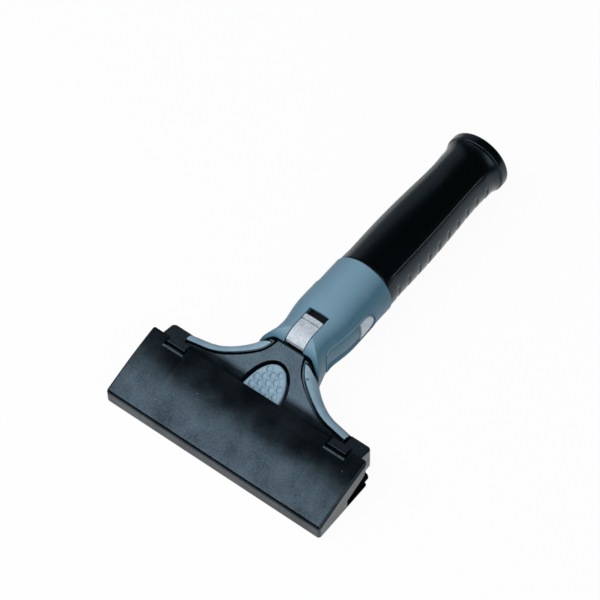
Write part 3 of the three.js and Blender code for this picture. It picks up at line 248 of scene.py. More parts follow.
# Grip sleeve: soft black rubber moulded over the core, barrel-shaped, with a flange that stops the hand.
# Below two lengthwise edges the sides step in a little, and short cross grooves run round underneath.
# Pieces that are put into each other keep one small gap, here and further down.
(_, GRIP_FRONT, _), (FLANGE_RADIUS, GRIP_REAR, _) = room_of("grip_sleeve")
FIT_GAP = 0.3
GRIP_BORE = CORE_RADIUS + FIT_GAP
GRIP_RADIUS = 14.9
GRIP_BARREL = (0.977, 0.993, 1, 0.987, 0.953, 0.913, 0.903)
GRIP_WAIST = 178
GRIP_EDGE_LENGTH, GRIP_EDGE_DROP = 0.4, 0.3
GRIP_RING_SPACING, GRIP_SIDES = 1.1, 120
FLANGE_FRONT, FLANGE_STEP = 184.6, 0.5
FLANGE_RIM = ((0, -FLANGE_STEP), (0.1, -0.75), (0.5, -0.75), (0.6, -FLANGE_STEP), (0.75, -0.27),
              (0.95, -0.11), (1.2, -0.03), (1.5, 0), (2.2, 0), (3, 0), (4, 0), (4.5, -0.04), (4.9, -0.22),
              (5.2, -0.5), (5.36, -0.85))
FLANGE_END_ROUND = 1.3
EDGE_TURN, EDGE_WIDTH, EDGE_STEP = math.radians(51), math.radians(0.9), 0.35
EDGE_START, EDGE_END = (107, 113), (172, 178)
EDGE_SHARES = (-1.6, -1, -0.4, 0.4, 1, 1.6)
GROOVE_FIRST, GROOVE_PITCH, GROOVE_COUNT = 110.5, 7.3, 10
GROOVE_HALF_WIDTH, GROOVE_DEPTH = 1.3, 0.6
GROOVE_TURN = (math.radians(75), math.radians(84))
GROOVE_SHARES = (-1, -0.6, -0.3, 0, 0.3, 0.6, 1)
grooves = [GROOVE_FIRST + GROOVE_PITCH * k for k in range(GROOVE_COUNT)]


def curve_through(values, share):
    """A smooth curve through evenly spaced values, read at a share of its way."""
    place = min(max(share, 0), 1) * (len(values) - 1)
    k = min(int(place), len(values) - 2)
    t = place - k
    b, c = values[k], values[k + 1]
    a = values[k - 1] if k > 0 else 2 * b - c
    d = values[k + 2] if k + 2 < len(values) else 2 * c - b
    return b + t * (c - a + t * (2 * a - 5 * b + 4 * c - d + t * (3 * (b - c) + d - a))) / 2


def ramp(value, start, end):
    """0 before start, 1 after end, and an even s-curve between them."""
    t = min(max((value - start) / (end - start), 0), 1)
    return t * t * (3 - 2 * t)


def grip_radius(y, turn):
    """How far out the rubber reaches: the barrel, its swell to the flange, the side edges and the grooves."""
    radius = GRIP_RADIUS * curve_through(GRIP_BARREL, (y - GRIP_FRONT) / (GRIP_WAIST - GRIP_FRONT))
    if y > GRIP_WAIST:
        share = min((y - GRIP_WAIST) / (FLANGE_FRONT - GRIP_WAIST), 1)
        radius += (FLANGE_RADIUS - FLANGE_STEP - radius) * share ** 3
    stepped = ramp(y, *EDGE_START) * (1 - ramp(y, *EDGE_END))
    radius -= EDGE_STEP * stepped * ramp(turn, EDGE_TURN - EDGE_WIDTH, EDGE_TURN + EDGE_WIDTH)
    nearest = min(abs(y - groove) for groove in grooves)
    if nearest < GROOVE_HALF_WIDTH:
        hollow = (1 + math.cos(math.pi * nearest / GROOVE_HALF_WIDTH)) / 2
        radius -= GROOVE_DEPTH * hollow * ramp(turn, *GROOVE_TURN)
    return radius


grip_turns = [2 * math.pi * k / GRIP_SIDES for k in range(1 - GRIP_SIDES // 2, GRIP_SIDES // 2 + 1)]
for side in (1, -1):
    grip_turns += [side * (EDGE_TURN + EDGE_WIDTH * share) for share in EDGE_SHARES]
grip_turns.sort()


def grip_ring(y, radius=None):
    """One ring around the sleeve, of an even radius or of the rubber's own."""
    ring = []
    for turn in grip_turns:
        r = grip_radius(y, abs(turn)) if radius is None else radius
        ring.append((r * math.sin(turn), y, AXIS_Z + r * math.cos(turn)))
    return ring


ring_count = int((FLANGE_FRONT - GRIP_FRONT) / GRIP_RING_SPACING)
stations = [GRIP_FRONT + GRIP_EDGE_LENGTH + GRIP_RING_SPACING * k for k in range(ring_count)]
for groove in grooves:
    stations += [groove + GROOVE_HALF_WIDTH * share for share in GROOVE_SHARES]
front_radius = GRIP_RADIUS * GRIP_BARREL[0] - GRIP_EDGE_DROP
rings = [grip_ring(GRIP_FRONT, GRIP_BORE), grip_ring(GRIP_FRONT, front_radius)]
rings += [grip_ring(y) for y in sorted(set(stations)) if y < FLANGE_FRONT]
rings += [grip_ring(FLANGE_FRONT + y, FLANGE_RADIUS + r) for y, r in FLANGE_RIM]
rings += [grip_ring(GRIP_REAR, r) for r in (FLANGE_RADIUS - FLANGE_END_ROUND, GRIP_BORE + FIT_GAP)]
rings.append(grip_ring(GRIP_REAR - FIT_GAP, GRIP_BORE))
grip = smooth(skin("grip_sleeve_rubber", rings, looped=True), angle=50)

DUST_REACH, DUST_CORE = 0.06, 0.035


def dusted(tree, spot, tone, spacing, share, colour):
    """A colour with grains of dust on it: cells of so many millimetres, of which a share holds a grain."""
    cells = add(tree, "TexVoronoi", {"Vector": spot, "Scale": 1 / (spacing * MM)})
    grain = add(tree, "MapRange", {"Value": cells, "From Min": DUST_REACH, "From Max": DUST_CORE})
    pick = add(tree, "SeparateColor", {"Color": cells.outputs["Color"]}).outputs["Red"]
    kept = add(tree, "Math", {0: pick, 1: 1 - share}, operation="GREATER_THAN")
    dust = add(tree, "Math", {0: grain, 1: kept}, operation="MULTIPLY")
    return add(tree, "Mix", {"Factor": dust, "A": tone, "B": linear(colour)}, data_type="RGBA")


# Thermoplastic rubber from a satin mould: near-black, a broad soft sheen, a few grains of light dust on top.
# The mould's grit is finer than a tenth of a millimetre, and is drawn coarser so that it shows.
RUBBER_CLOUD, RUBBER_GRIT, RUBBER_DUST = 9, 0.6, 7
COOL_SHEEN = linear("#c6e6fb")
rubber, tree, shader = new_material("thermoplastic_rubber_satin_moulded",
                                    {"IOR": 1.47, "Specular Tint": COOL_SHEEN})
spot = add(tree, "TexCoord").outputs["Object"]
cloud = add(tree, "TexNoise", {"Vector": spot, "Scale": 1 / (RUBBER_CLOUD * MM), "Detail": 3})
grit = add(tree, "TexNoise", {"Vector": spot, "Scale": 1 / (RUBBER_GRIT * MM), "Detail": 2})
tone = add(tree, "Mix", {"Factor": cloud, "A": linear("#020404"), "B": linear("#050808")}, data_type="RGBA")
dusty = dusted(tree, spot, tone, spacing=RUBBER_DUST, share=0.2, colour="#5d676b")
rough = add(tree, "MapRange", {"Value": grit, "From Min": 0.3, "From Max": 0.7,
                               "To Min": 0.24, "To Max": 0.28})
bump = add(tree, "Bump", {"Height": grit, "Strength": 0.05, "Distance": 0.04 * MM})
wire(shader, {"Base Color": dusty, "Roughness": rough, "Normal": bump})
wear(grip, rubber, "handle", "grip", "grip_sleeve")

# Collar: one hollow moulding in blue-grey plastic that joins the grip to the head. Its nose is round about
# the tilt hinge and forked for the head's knuckle; each side has a sunk panel that ends at the pole button.
HINGE_Y = (pin_low[1] + pin_high[1]) / 2
NOSE_RADIUS = 13.2
COLLAR_FRONT, COLLAR_REAR = 48, room_of("collar")[1][1]
COLLAR_HALF_WIDTH, COLLAR_HALF_HEIGHT = 15.1, 14.9
COLLAR_ALONG = (0, 0.08, 0.16, 0.23, 0.31, 0.39, 0.465, 0.555, 0.715, 0.86, 1)
COLLAR_WIDTH = (1.15, 1.045, 0.955, 0.882, 0.855, 0.905, 0.96, 0.99, 0.99, 0.995, 1)
COLLAR_RISE = (0, 0, 0, 0, 0, 0.03, 0.18, 0.47, 0.765, 0.91, 1)
COLLAR_SQUARE = (2.9, 2.8, 2.7, 2.6, 2.5, 2.4, 2.3, 2.2, 2.1, 2.05, 2)
COLLAR_EDGE, PANEL_EDGE = 0.25, 0.1
FORK_HALF_WIDTH, FORK_REAR = 5, 73.8
CHAMBER_FRONT, CHAMBER_REAR, CHAMBER_LOW, CHAMBER_HIGH = 70.2, 86, 17.4, 27.3
RAIL_HALF_WIDTH, RAIL_FRONT, RAIL_LOW, RAIL_HIGH, RAIL_ROOM_REAR = 6, 60.8, 23.2, 24.7, 81.1
PIN_HOLE_RADIUS, PIN_HOLE_END = 2.7, 11.7
CORE_SEAT_FRONT, CORE_SEAT_REAR = 87.2, 106
PANEL_FRONT, PANEL_HALF_HEIGHT, PANEL_CORNER = 61.5, 6, 3
PANEL_DEPTH, PANEL_RIM = 0.9, 0.6
PANEL_BEAD, PANEL_BEAD_RISE = 0.7, 0.3
BUTTON_FRONT, BUTTON_CENTRE, BUTTON_REAR = 83.6, 86.2, 92
BUTTON_HALF_HEIGHT = 5.6
BUTTON_GAP, BUTTON_WELL_X = 0.45, 8
EAR_ROOM, EAR_ROOM_X = 1.2, 11.8
# Cuts that go right through reach FAR past the tool's sides and BEYOND its end.
FAR, BEYOND = 60, 240


def collar_skin(name, inset, steps=56, sides=112):
    """The collar's oval skin, drawn in by an inset."""
    rings = []
    for k in range(steps + 1):
        share = k / steps
        y = COLLAR_FRONT + (COLLAR_REAR - COLLAR_FRONT) * curve_through(COLLAR_ALONG, share)
        wide = COLLAR_HALF_WIDTH * curve_through(COLLAR_WIDTH, share) - inset
        rise = curve_through(COLLAR_RISE, share)
        high = NOSE_RADIUS + (COLLAR_HALF_HEIGHT - NOSE_RADIUS) * rise - inset
        power = 2 / curve_through(COLLAR_SQUARE, share)
        ring = []
        for i in range(sides):
            turn = 2 * math.pi * (i + 0.5) / sides
            across, up = math.cos(turn), math.sin(turn)
            x = wide * math.copysign(abs(across) ** power, across)
            ring.append((x, y, AXIS_Z + high * math.copysign(abs(up) ** power, up)))
        rings.append(ring)
    return skin(name, rings)


def arc(u, v, reach_u, reach_v, start, end, steps=8):
    """Points of an elliptic arc between two angles in degrees."""
    angles = [math.radians(start + (end - start) * k / steps) for k in range(steps + 1)]
    return [(u + reach_u * math.cos(a), v + reach_v * math.sin(a)) for a in angles]


def behind_nose(name):
    """All that lies behind the nose's round front."""
    outline = arc(HINGE_Y, AXIS_Z, NOSE_RADIUS, NOSE_RADIUS, 90, 270, steps=64)
    outline += [(HINGE_Y, -FAR), (BEYOND, -FAR), (BEYOND, FAR), (HINGE_Y, FAR)]
    return prism(name, outline, -FAR, FAR, "x")


def button_outline(grow):
    """The pole button seen from the side: flat in front, round behind."""
    front, half = BUTTON_FRONT - grow, BUTTON_HALF_HEIGHT + grow
    round_end = arc(BUTTON_CENTRE, AXIS_Z, BUTTON_REAR - BUTTON_CENTRE + grow, half, -90, 90, steps=24)
    return [(front, AXIS_Z - half), *round_end, (front, AXIS_Z + half)]


def panel_outline(grow):
    """The sunk panel seen from the side: round corners in front, round about the button behind."""
    half, front, corner = PANEL_HALF_HEIGHT + grow, PANEL_FRONT + PANEL_CORNER, PANEL_CORNER + grow
    rear = arc(BUTTON_CENTRE, AXIS_Z, BUTTON_REAR - BUTTON_CENTRE + PANEL_RIM + grow, half, -90, 90, steps=24)
    upper = arc(front, AXIS_Z + PANEL_HALF_HEIGHT - PANEL_CORNER, corner, corner, 90, 180)
    lower = arc(front, AXIS_Z - PANEL_HALF_HEIGHT + PANEL_CORNER, corner, corner, 180, 270)
    return rear + upper + lower


def circle(u, v, radius, sides):
    """Points of a full circle."""
    return arc(u, v, radius, radius, 0, 360 - 360 / sides, sides - 1)


def rod(name, radius, y, z, low, high, sides=48):
    """A round rod across the tool."""
    return prism(name, circle(y, z, radius, sides), low, high, "x")


FLAT_ANGLE = math.radians(0.3)


def soften(piece, radius, angle=30):
    """Rounds a cut piece's edges by a small radius in millimetres, as a mould does."""
    shape = bmesh.new()
    shape.from_mesh(piece.data)
    bmesh.ops.remove_doubles(shape, verts=shape.verts, dist=CLEAN)
    bmesh.ops.dissolve_limit(shape, angle_limit=FLAT_ANGLE, verts=shape.verts, edges=shape.edges)
    shape.to_mesh(piece.data)
    shape.free()
    edge = piece.modifiers.new("edge", "BEVEL")
    edge.width = radius * MM
    edge.segments = 2
    edge.limit_method = "ANGLE"
    edge.angle_limit = math.radians(angle)
    edge.harden_normals = False
    return smooth(settle(piece), angle=40)


collar = carve(collar_skin("collar_moulding", 0), behind_nose("nose"), "INTERSECT")
carve(collar, block("fork", (-FORK_HALF_WIDTH, 0, -FAR), (FORK_HALF_WIDTH, FORK_REAR, FAR)))
carve(collar, block("chamber", (-FORK_HALF_WIDTH, CHAMBER_FRONT, CHAMBER_LOW),
                    (FORK_HALF_WIDTH, CHAMBER_REAR, CHAMBER_HIGH)))
carve(collar, block("rail_room", (-RAIL_HALF_WIDTH - FIT_GAP, RAIL_FRONT - FIT_GAP, RAIL_LOW - FIT_GAP),
                    (RAIL_HALF_WIDTH + FIT_GAP, RAIL_ROOM_REAR, RAIL_HIGH + FIT_GAP)))
carve(collar, rod("pin_hole", PIN_HOLE_RADIUS, HINGE_Y, AXIS_Z, -FAR, PIN_HOLE_END))
seat_radius = CORE_RADIUS + FIT_GAP
carve(collar, turned("core_seat", [(0, CORE_SEAT_FRONT), (seat_radius, CORE_SEAT_FRONT),
                                   (seat_radius, CORE_SEAT_REAR), (0, CORE_SEAT_REAR)]))
soften(collar, COLLAR_EDGE)
for side in (1, -1):
    well = side_span(side, BUTTON_WELL_X, FAR)
    bead = prism("bead", panel_outline(PANEL_BEAD), *well, "x")
    carve(collar, carve(bead, collar_skin("bead_top", -PANEL_BEAD_RISE), "INTERSECT"), "UNION")
    panel = prism("panel", panel_outline(0), *well, "x")
    carve(collar, carve(panel, collar_skin("panel_floor", PANEL_DEPTH)))
    carve(collar, prism("button_hole", button_outline(BUTTON_GAP), *well, "x"))
    ear_span = side_span(side, BUTTON_WELL_X, EAR_ROOM_X)
    carve(collar, prism("ear_room", button_outline(EAR_ROOM), *ear_span, "x"))
soften(collar, PANEL_EDGE, angle=50)

# Blue-grey polypropylene from a satin mould: faint flow clouds in the colour, a painted paler sheen on what
# faces up, and specks of dust. The mould's grit is drawn coarser than its real tenth of a millimetre so that
# it shows.
COLLAR_CLOUD, COLLAR_GRIT, COLLAR_DUST = 14, 0.5, 4
collar_blue, tree, shader = new_material("polypropylene_blue_grey_satin", {"IOR": 1.49})
places = add(tree, "TexCoord")
spot = places.outputs["Object"]
cloud = add(tree, "TexNoise", {"Vector": spot, "Scale": 1 / (COLLAR_CLOUD * MM), "Detail": 4})
grit = add(tree, "TexNoise", {"Vector": spot, "Scale": 1 / (COLLAR_GRIT * MM), "Detail": 2})
flow = add(tree, "MapRange", {"Value": cloud, "From Min": 0.3, "From Max": 0.7})
tone = add(tree, "Mix", {"Factor": flow, "A": linear("#446f82"), "B": linear("#507b8e")}, data_type="RGBA")
# Painted sheen: the more a face looks up, the more its colour is mixed towards a pale blue-grey, as if lit
# from above.
upward = add(tree, "SeparateXYZ", {"Vector": places.outputs["Normal"]}).outputs["Z"]
painted_top_sheen = add(tree, "MapRange", {"Value": upward, "From Min": 0.68, "From Max": 1, "To Max": 0.72})
painted_sheen_tone = add(tree, "Mix", {"Factor": painted_top_sheen, "A": tone, "B": linear("#8db0c1")}, data_type="RGBA")
dusty = dusted(tree, spot, painted_sheen_tone, spacing=COLLAR_DUST, share=0.25, colour="#a9bfca")
rough = add(tree, "MapRange", {"Value": grit, "From Min": 0.3, "From Max": 0.7,
                               "To Min": 0.42, "To Max": 0.54})
bump = add(tree, "Bump", {"Height": grit, "Strength": 0.1, "Distance": 0.04 * MM})
wire(shader, {"Base Color": dusty, "Roughness": rough, "Normal": bump})
wear(collar, collar_blue, "handle", "collar", "collar")

# Pole buttons: light grey plastic caps in the collar's sides, flush with the sunk panels, each kept in by a
# thin ear all round and pushed out by a bowed steel leaf. Pressed together they let go of the pole.
BUTTON_UNDER, BUTTON_SUNK, BUTTON_EDGE = 10.2, 0.3, 0.3
EAR_WIDTH, EAR_TOP = 0.9, 11.5

# Light grey polypropylene from a polished mould: clean and pale, a tighter gloss, a faint fine mottle.
LIGHT_GREY_MOTTLE = 1.3
light_grey, tree, shader = new_material("polypropylene_light_grey", {"IOR": 1.49})
spot = add(tree, "TexCoord").outputs["Object"]
mottle = add(tree, "TexNoise", {"Vector": spot, "Scale": 1 / (LIGHT_GREY_MOTTLE * MM), "Detail": 4})
spread = add(tree, "MapRange", {"Value": mottle, "From Min": 0.3, "From Max": 0.7})
tone = add(tree, "Mix", {"Factor": spread, "A": linear("#b6bfc7"), "B": linear("#d6dee4")}, data_type="RGBA")
rough = add(tree, "MapRange", {"Value": mottle, "To Min": 0.3, "To Max": 0.45})
wire(shader, {"Base Color": tone, "Roughness": rough})
for side, body, node in ((1, "pole_right", "pole_button_right"), (-1, "pole_left", "pole_button_left")):
    button = prism(node + "_cap", button_outline(0), *side_span(side, BUTTON_UNDER, FAR), "x")
    carve(button, collar_skin("button_face", BUTTON_SUNK), "INTERSECT")
    ear = prism("ear", button_outline(EAR_WIDTH), *side_span(side, BUTTON_UNDER, EAR_TOP), "x")
    carve(button, ear, "UNION")
    soften(button, BUTTON_EDGE)
    wear(button, light_grey, body, "light_plastic", node)

# Angle slide: a light grey tongue in the top of the neck, curved like the collar, with a thumb groove near
# its rear end. It sits on a dark nylon carriage with hidden rails, whose tooth drops into the knuckle.
SLIDE_HALF_WIDTH = FORK_HALF_WIDTH - 0.4
SLIDE_FRONT, SLIDE_REAR, SLIDE_TAIL = 56.9, 70.2, 77.5
SLIDE_UNDER, SLIDE_LIP = 22.9, SLIDE_FRONT + 2.4
SLIDE_GROOVE, SLIDE_GROOVE_HALF_WIDTH, SLIDE_GROOVE_FLOOR = 67.6, 0.35, 26.6
SLIDE_SEAT_GAP, SLIDE_EDGE = 0.02, 0.25
CARRIAGE_STEP, CARRIAGE_DROP, CARRIAGE_EDGE = 0.1, 0.2, 0.15
TOOTH_FRONT, TOOTH_LOW, TOOTH_SHOULDER, TOOTH_HIGH = 74, 18, 20.5, 24.2
TOOTH_TIP_Y, TOOTH_TIP_Z = 72, 19.5
tongue_under = RAIL_HIGH + SLIDE_SEAT_GAP
tongue_side = [(SLIDE_FRONT, SLIDE_UNDER), (SLIDE_LIP, SLIDE_UNDER), (SLIDE_LIP, tongue_under),
               (SLIDE_REAR, tongue_under), (SLIDE_REAR, FAR), (SLIDE_FRONT, FAR)]
tongue = prism("angle_slide_tongue", tongue_side, -SLIDE_HALF_WIDTH, SLIDE_HALF_WIDTH, "x")
crown = carve(collar_skin("crown", 0), behind_nose("nose"), "INTERSECT")
carve(tongue, crown, "INTERSECT")
soften(tongue, SLIDE_EDGE)
carve(tongue, block("groove", (-FAR, SLIDE_GROOVE - SLIDE_GROOVE_HALF_WIDTH, SLIDE_GROOVE_FLOOR),
                    (FAR, SLIDE_GROOVE + SLIDE_GROOVE_HALF_WIDTH, FAR)))
smooth(tongue, angle=40)
wear(tongue, light_grey, "slide", "light_plastic", "angle_slide")
carriage = block("angle_slide_carriage", (-SLIDE_HALF_WIDTH, SLIDE_LIP + SLIDE_SEAT_GAP, SLIDE_UNDER),
                 (SLIDE_HALF_WIDTH, SLIDE_TAIL, RAIL_HIGH - CARRIAGE_DROP))
carriage_rear, tooth_half = SLIDE_TAIL - CARRIAGE_STEP, SLIDE_HALF_WIDTH - CARRIAGE_STEP
tooth_side = [(TOOTH_FRONT, TOOTH_HIGH), (TOOTH_FRONT, TOOTH_SHOULDER), (TOOTH_TIP_Y, TOOTH_TIP_Z),
              (TOOTH_FRONT, TOOTH_LOW), (carriage_rear, TOOTH_LOW), (carriage_rear, TOOTH_HIGH)]
carve(carriage, prism("tooth", tooth_side, -tooth_half, tooth_half, "x"), "UNION")
carve(carriage, block("rails", (-RAIL_HALF_WIDTH, RAIL_FRONT, RAIL_LOW),
                      (RAIL_HALF_WIDTH, carriage_rear, RAIL_HIGH)), "UNION")
soften(carriage, CARRIAGE_EDGE)
wear(carriage, nylon, "slide", "black_plastic", "angle_slide")

# Head: base and cover are two black mouldings cut from one flared form. Its edges sweep out from the neck to
# the blade's width and roll over into the top, and soft strips are let into the two concave edges.
HEAD_HALF_WIDTH = room_of("head_cover")[1][0]
HEAD_BOTTOM, HEAD_SPLIT, HEAD_LIP_TOP = 2, 7.8, 6.9
HEAD_FRONT, HEAD_CREST, HEAD_REAR = 12.6, 24, 57
CAP_HALF_WIDTH, CAP_REAR, CAP_HIGH = room_of("blade_cap")[1]
CAP_WALL, CAP_CLEARANCE = 1.6, 0.5
CAP_PROFILE = ((0, 7.9), (18.5, 14.6), (CAP_REAR, CAP_HIGH))
FLARE_HALF_WIDTH = HEAD_HALF_WIDTH - 10
FLARE_REAR, FLARE_TAIL, FLARE_FRONT = 41, 68, 22
FLARE_RIBS, FLARE_FRONT_RIBS, FLARE_HIDDEN_DROP = 72, 16, 0.1
NECK_HALF_WIDTH, NECK_REAR = 13, 61.5
NECK_OUT = (0, 0.048, 0.103, 0.29, 0.493, 0.66)
NECK_FORWARD = (0, 0.22, 0.445, 0.683, 0.85, 0.927)
NECK_CORNER_WIDTH, NECK_CORNER_LENGTH, NECK_CORNER_OVER = 4, 3.4, 0.4
NOSE_GAP, NECK_ROUND, NOSE_SIDES = 0.4, 0.8, 144
ROLL_WIDTH, ROLL_HEIGHT = 6.2, 8
UNDER_ROLL_WIDTH, UNDER_ROLL_HEIGHT = 3, 4
COVER_SHELF_SLOPE, COVER_SLOPE = 0.2, 0.41
COVER_BEND = (1.4, 7.6)


def cap_top(y):
    """Height of the cap's top face before its bend is rounded."""
    (y0, z0), (y1, z1), (y2, z2) = CAP_PROFILE
    if y < y1:
        return z0 + (z1 - z0) * (y - y0) / (y1 - y0)
    return z1 + (z2 - z1) * (y - y1) / (y2 - y1)


def head_top(y):
    """Height of the head's top: close under the cap, a shelf behind it, then an even slope to the neck."""
    under = cap_top(min(max(y, HEAD_CREST), CAP_REAR)) - CAP_WALL - CAP_CLEARANCE
    if y < HEAD_CREST:
        return HEAD_LIP_TOP + (under - HEAD_LIP_TOP) * (y - HEAD_FRONT) / (HEAD_CREST - HEAD_FRONT)
    back, (start, end) = max(y - CAP_REAR, 0), COVER_BEND
    lift = back - (start + end) / 2 if back > end else max(back - start, 0) ** 2 / (2 * (end - start))
    return under + COVER_SHELF_SLOPE * back + (COVER_SLOPE - COVER_SHELF_SLOPE) * lift


def neck_edge(steps):
    """The concave edge in plan from the neck to the flare, with its way inwards at each point."""
    points = []
    for k in range(steps + 1):
        out, forward = curve_through(NECK_OUT, k / steps), curve_through(NECK_FORWARD, k / steps)
        x = NECK_HALF_WIDTH + (FLARE_HALF_WIDTH - NECK_HALF_WIDTH) * out
        points.append((x, NECK_REAR + (FLARE_REAR - NECK_REAR) * forward))
    points.append((FLARE_HALF_WIDTH, FLARE_REAR))
    edge = []
    for k, (x, y) in enumerate(points):
        (x0, y0), (x1, y1) = points[max(k - 1, 0)], points[min(k + 1, len(points) - 1)]
        length = math.hypot(x1 - x0, y1 - y0)
        edge.append((x, y, (y1 - y0) / length, -(x1 - x0) / length))
    return edge


def neck_round(x, y, z):
    """Rounds the head's rear edge off where it meets the collar's nose."""
    clear = math.hypot(y - HINGE_Y, z - AXIS_Z) - NOSE_RADIUS - NOSE_GAP
    near = min(max(NECK_ROUND - clear, 0), NECK_ROUND)
    return x, y, z - NECK_ROUND + math.sqrt(NECK_ROUND ** 2 - near ** 2)


def flare_ring(x, y, inward_x, inward_y, steps=10):
    """One rib across the flared form: bottom roll, wall, top roll and top, left and right alike."""
    half = [(0, y + inward_y * ROLL_WIDTH, HEAD_BOTTOM)]
    for k in range(steps + 1):
        turn = math.pi / 2 * k / steps
        inset = UNDER_ROLL_WIDTH * (1 - math.sin(turn))
        z = HEAD_BOTTOM + UNDER_ROLL_HEIGHT * (1 - math.cos(turn))
        half.append((x + inward_x * inset, y + inward_y * inset, z))
    for k in range(steps + 1):
        turn = math.pi / 2 * (1 - k / steps)
        inset = ROLL_WIDTH * (1 - math.sin(turn))
        depth = y + inward_y * inset
        z = head_top(depth) - ROLL_HEIGHT * (1 - math.cos(turn))
        half.append(neck_round(x + inward_x * inset, depth, z))
    inner_x, inner_y = half[-1][0], half[-1][1]
    half += [neck_round(inner_x * share, inner_y, head_top(inner_y)) for share in (0.75, 0.5, 0.25, 0)]
    return half + [(-px, py, pz) for px, py, pz in half[-2:0:-1]]


def flare_skin(name):
    """The flared form from the neck to the front, cut to the sweep of the collar's nose."""
    edge = neck_edge(FLARE_RIBS)
    ribs = [flare_ring(edge[0][0], FLARE_TAIL, -1, 0)]
    ribs += [flare_ring(*point) for point in edge]
    widest = ribs[-1]
    for k in range(1, FLARE_FRONT_RIBS + 1):
        rib = []
        for x, y, z in widest:
            front = y + (FLARE_FRONT - y) * k / FLARE_FRONT_RIBS
            hidden = FLARE_HIDDEN_DROP if front < CAP_REAR else 0
            drop = head_top(y) - head_top(front) + hidden if z > HEAD_SPLIT else 0
            rib.append((x, front, z - drop))
        ribs.append(rib)
    flared = skin(name, ribs)
    carve(flared, block("neck_end", (-FAR, HEAD_REAR, -FAR), (FAR, BEYOND, FAR)))
    rear, front = HEAD_REAR + NECK_CORNER_OVER, HEAD_REAR - NECK_CORNER_LENGTH
    corner = ((NECK_HALF_WIDTH - NECK_CORNER_WIDTH, rear), (FAR, rear),
              (FAR, front), (NECK_HALF_WIDTH, front))
    for side in (1, -1):
        carve(flared, prism("neck_corner", [(side * x, y) for x, y in corner], -FAR, FAR, "z"))
    return carve(flared, rod("nose_sweep", NOSE_RADIUS + NOSE_GAP, HINGE_Y, AXIS_Z, -FAR, FAR, NOSE_SIDES))


def rounded_plan(half, front, rear, front_corner, rear_corner):
    """A plate in plan with round corners."""
    plan = arc(half - front_corner, front + front_corner, front_corner, front_corner, -90, 0)
    plan += arc(half - rear_corner, rear - rear_corner, rear_corner, rear_corner, 0, 90)
    plan += arc(rear_corner - half, rear - rear_corner, rear_corner, rear_corner, 90, 180)
    return plan + arc(front_corner - half, front + front_corner, front_corner, front_corner, 180, 270)


COVER_UNDER = HEAD_SPLIT + FIT_GAP
INSERT_WIDTH, INSERT_STEPS = 4.9, 48
INSERT_NECK_WIDTH, INSERT_NECK_SHARE = 2.2, 0.7
INSERT_END, INSERT_RIM, INSERT_GAP = FLARE_HALF_WIDTH - 0.6, 1.5, 0.3
CREASE_LIP, CREASE_WIDTH, CREASE_DEPTH, CREASE_RIM = 0.65, 1.7, 1.6, 0.5


def edge_strip(name, side, gap):
    """The outer strip of one flared edge, from the neck's rim to the tab, with a gap all round."""
    edge = neck_edge(INSERT_STEPS)
    inner = []
    for k, (x, y, inward_x, inward_y) in enumerate(edge):
        width = INSERT_WIDTH + INSERT_NECK_WIDTH * (1 - ramp(k, 0, INSERT_NECK_SHARE * len(edge))) + gap
        inner.append((x + width * inward_x, y + width * inward_y))
    outer = [(x - inward_x, y - inward_y) for x, y, inward_x, inward_y in edge]
    strip = prism(name, [(side * x, y) for x, y in inner + outer[::-1]], COVER_UNDER, FAR / 2, "z")
    left, right = side_span(side, 0, INSERT_END + gap)
    carve(strip, block("end", (left, 0, 0), (right, BEYOND, FAR)), "INTERSECT")
    rim = NOSE_RADIUS + NOSE_GAP + max(INSERT_RIM + INSERT_GAP - gap, CREASE_RIM)
    return carve(strip, rod("neck_rim", rim, HINGE_Y, AXIS_Z, -FAR, FAR, NOSE_SIDES))


TAB_SETBACK = 0.03
TAB_INNER, TAB_OUTER = HEAD_HALF_WIDTH - 15, HEAD_HALF_WIDTH - TAB_SETBACK
TAB_FRONT, TAB_REAR = 27, 40.8
TAB_FALL, TAB_CORNER, TAB_EDGE = 0.235, 2, 0.6


def head_tab(side):
    """An end tab, its top falling from the cap's rear edge."""
    ridge, brow = head_top(CAP_REAR) - TAB_SETBACK, head_top(HEAD_CREST) - TAB_SETBACK
    roof = [(0, -FAR), (FAR, -FAR), (FAR, ridge - TAB_FALL * (FAR - CAP_REAR)), (CAP_REAR, ridge),
            (HEAD_CREST, brow), (0, brow)]
    plan = [(TAB_INNER, TAB_FRONT), (TAB_OUTER, TAB_FRONT)]
    plan += arc(TAB_OUTER - TAB_CORNER, TAB_REAR - TAB_CORNER, TAB_CORNER, TAB_CORNER, 0, 90)
    plan.append((TAB_INNER, TAB_REAR))
    tab = prism("tab", [(side * x, y) for x, y in plan], HEAD_BOTTOM + TAB_SETBACK, FAR, "z")
    carve(tab, prism("roof", roof, -FAR, FAR, "x"), "INTERSECT")
    return soften(tab, TAB_EDGE)


WEDGE_FRONT_CORNER, WEDGE_REAR_CORNER = 2, 1


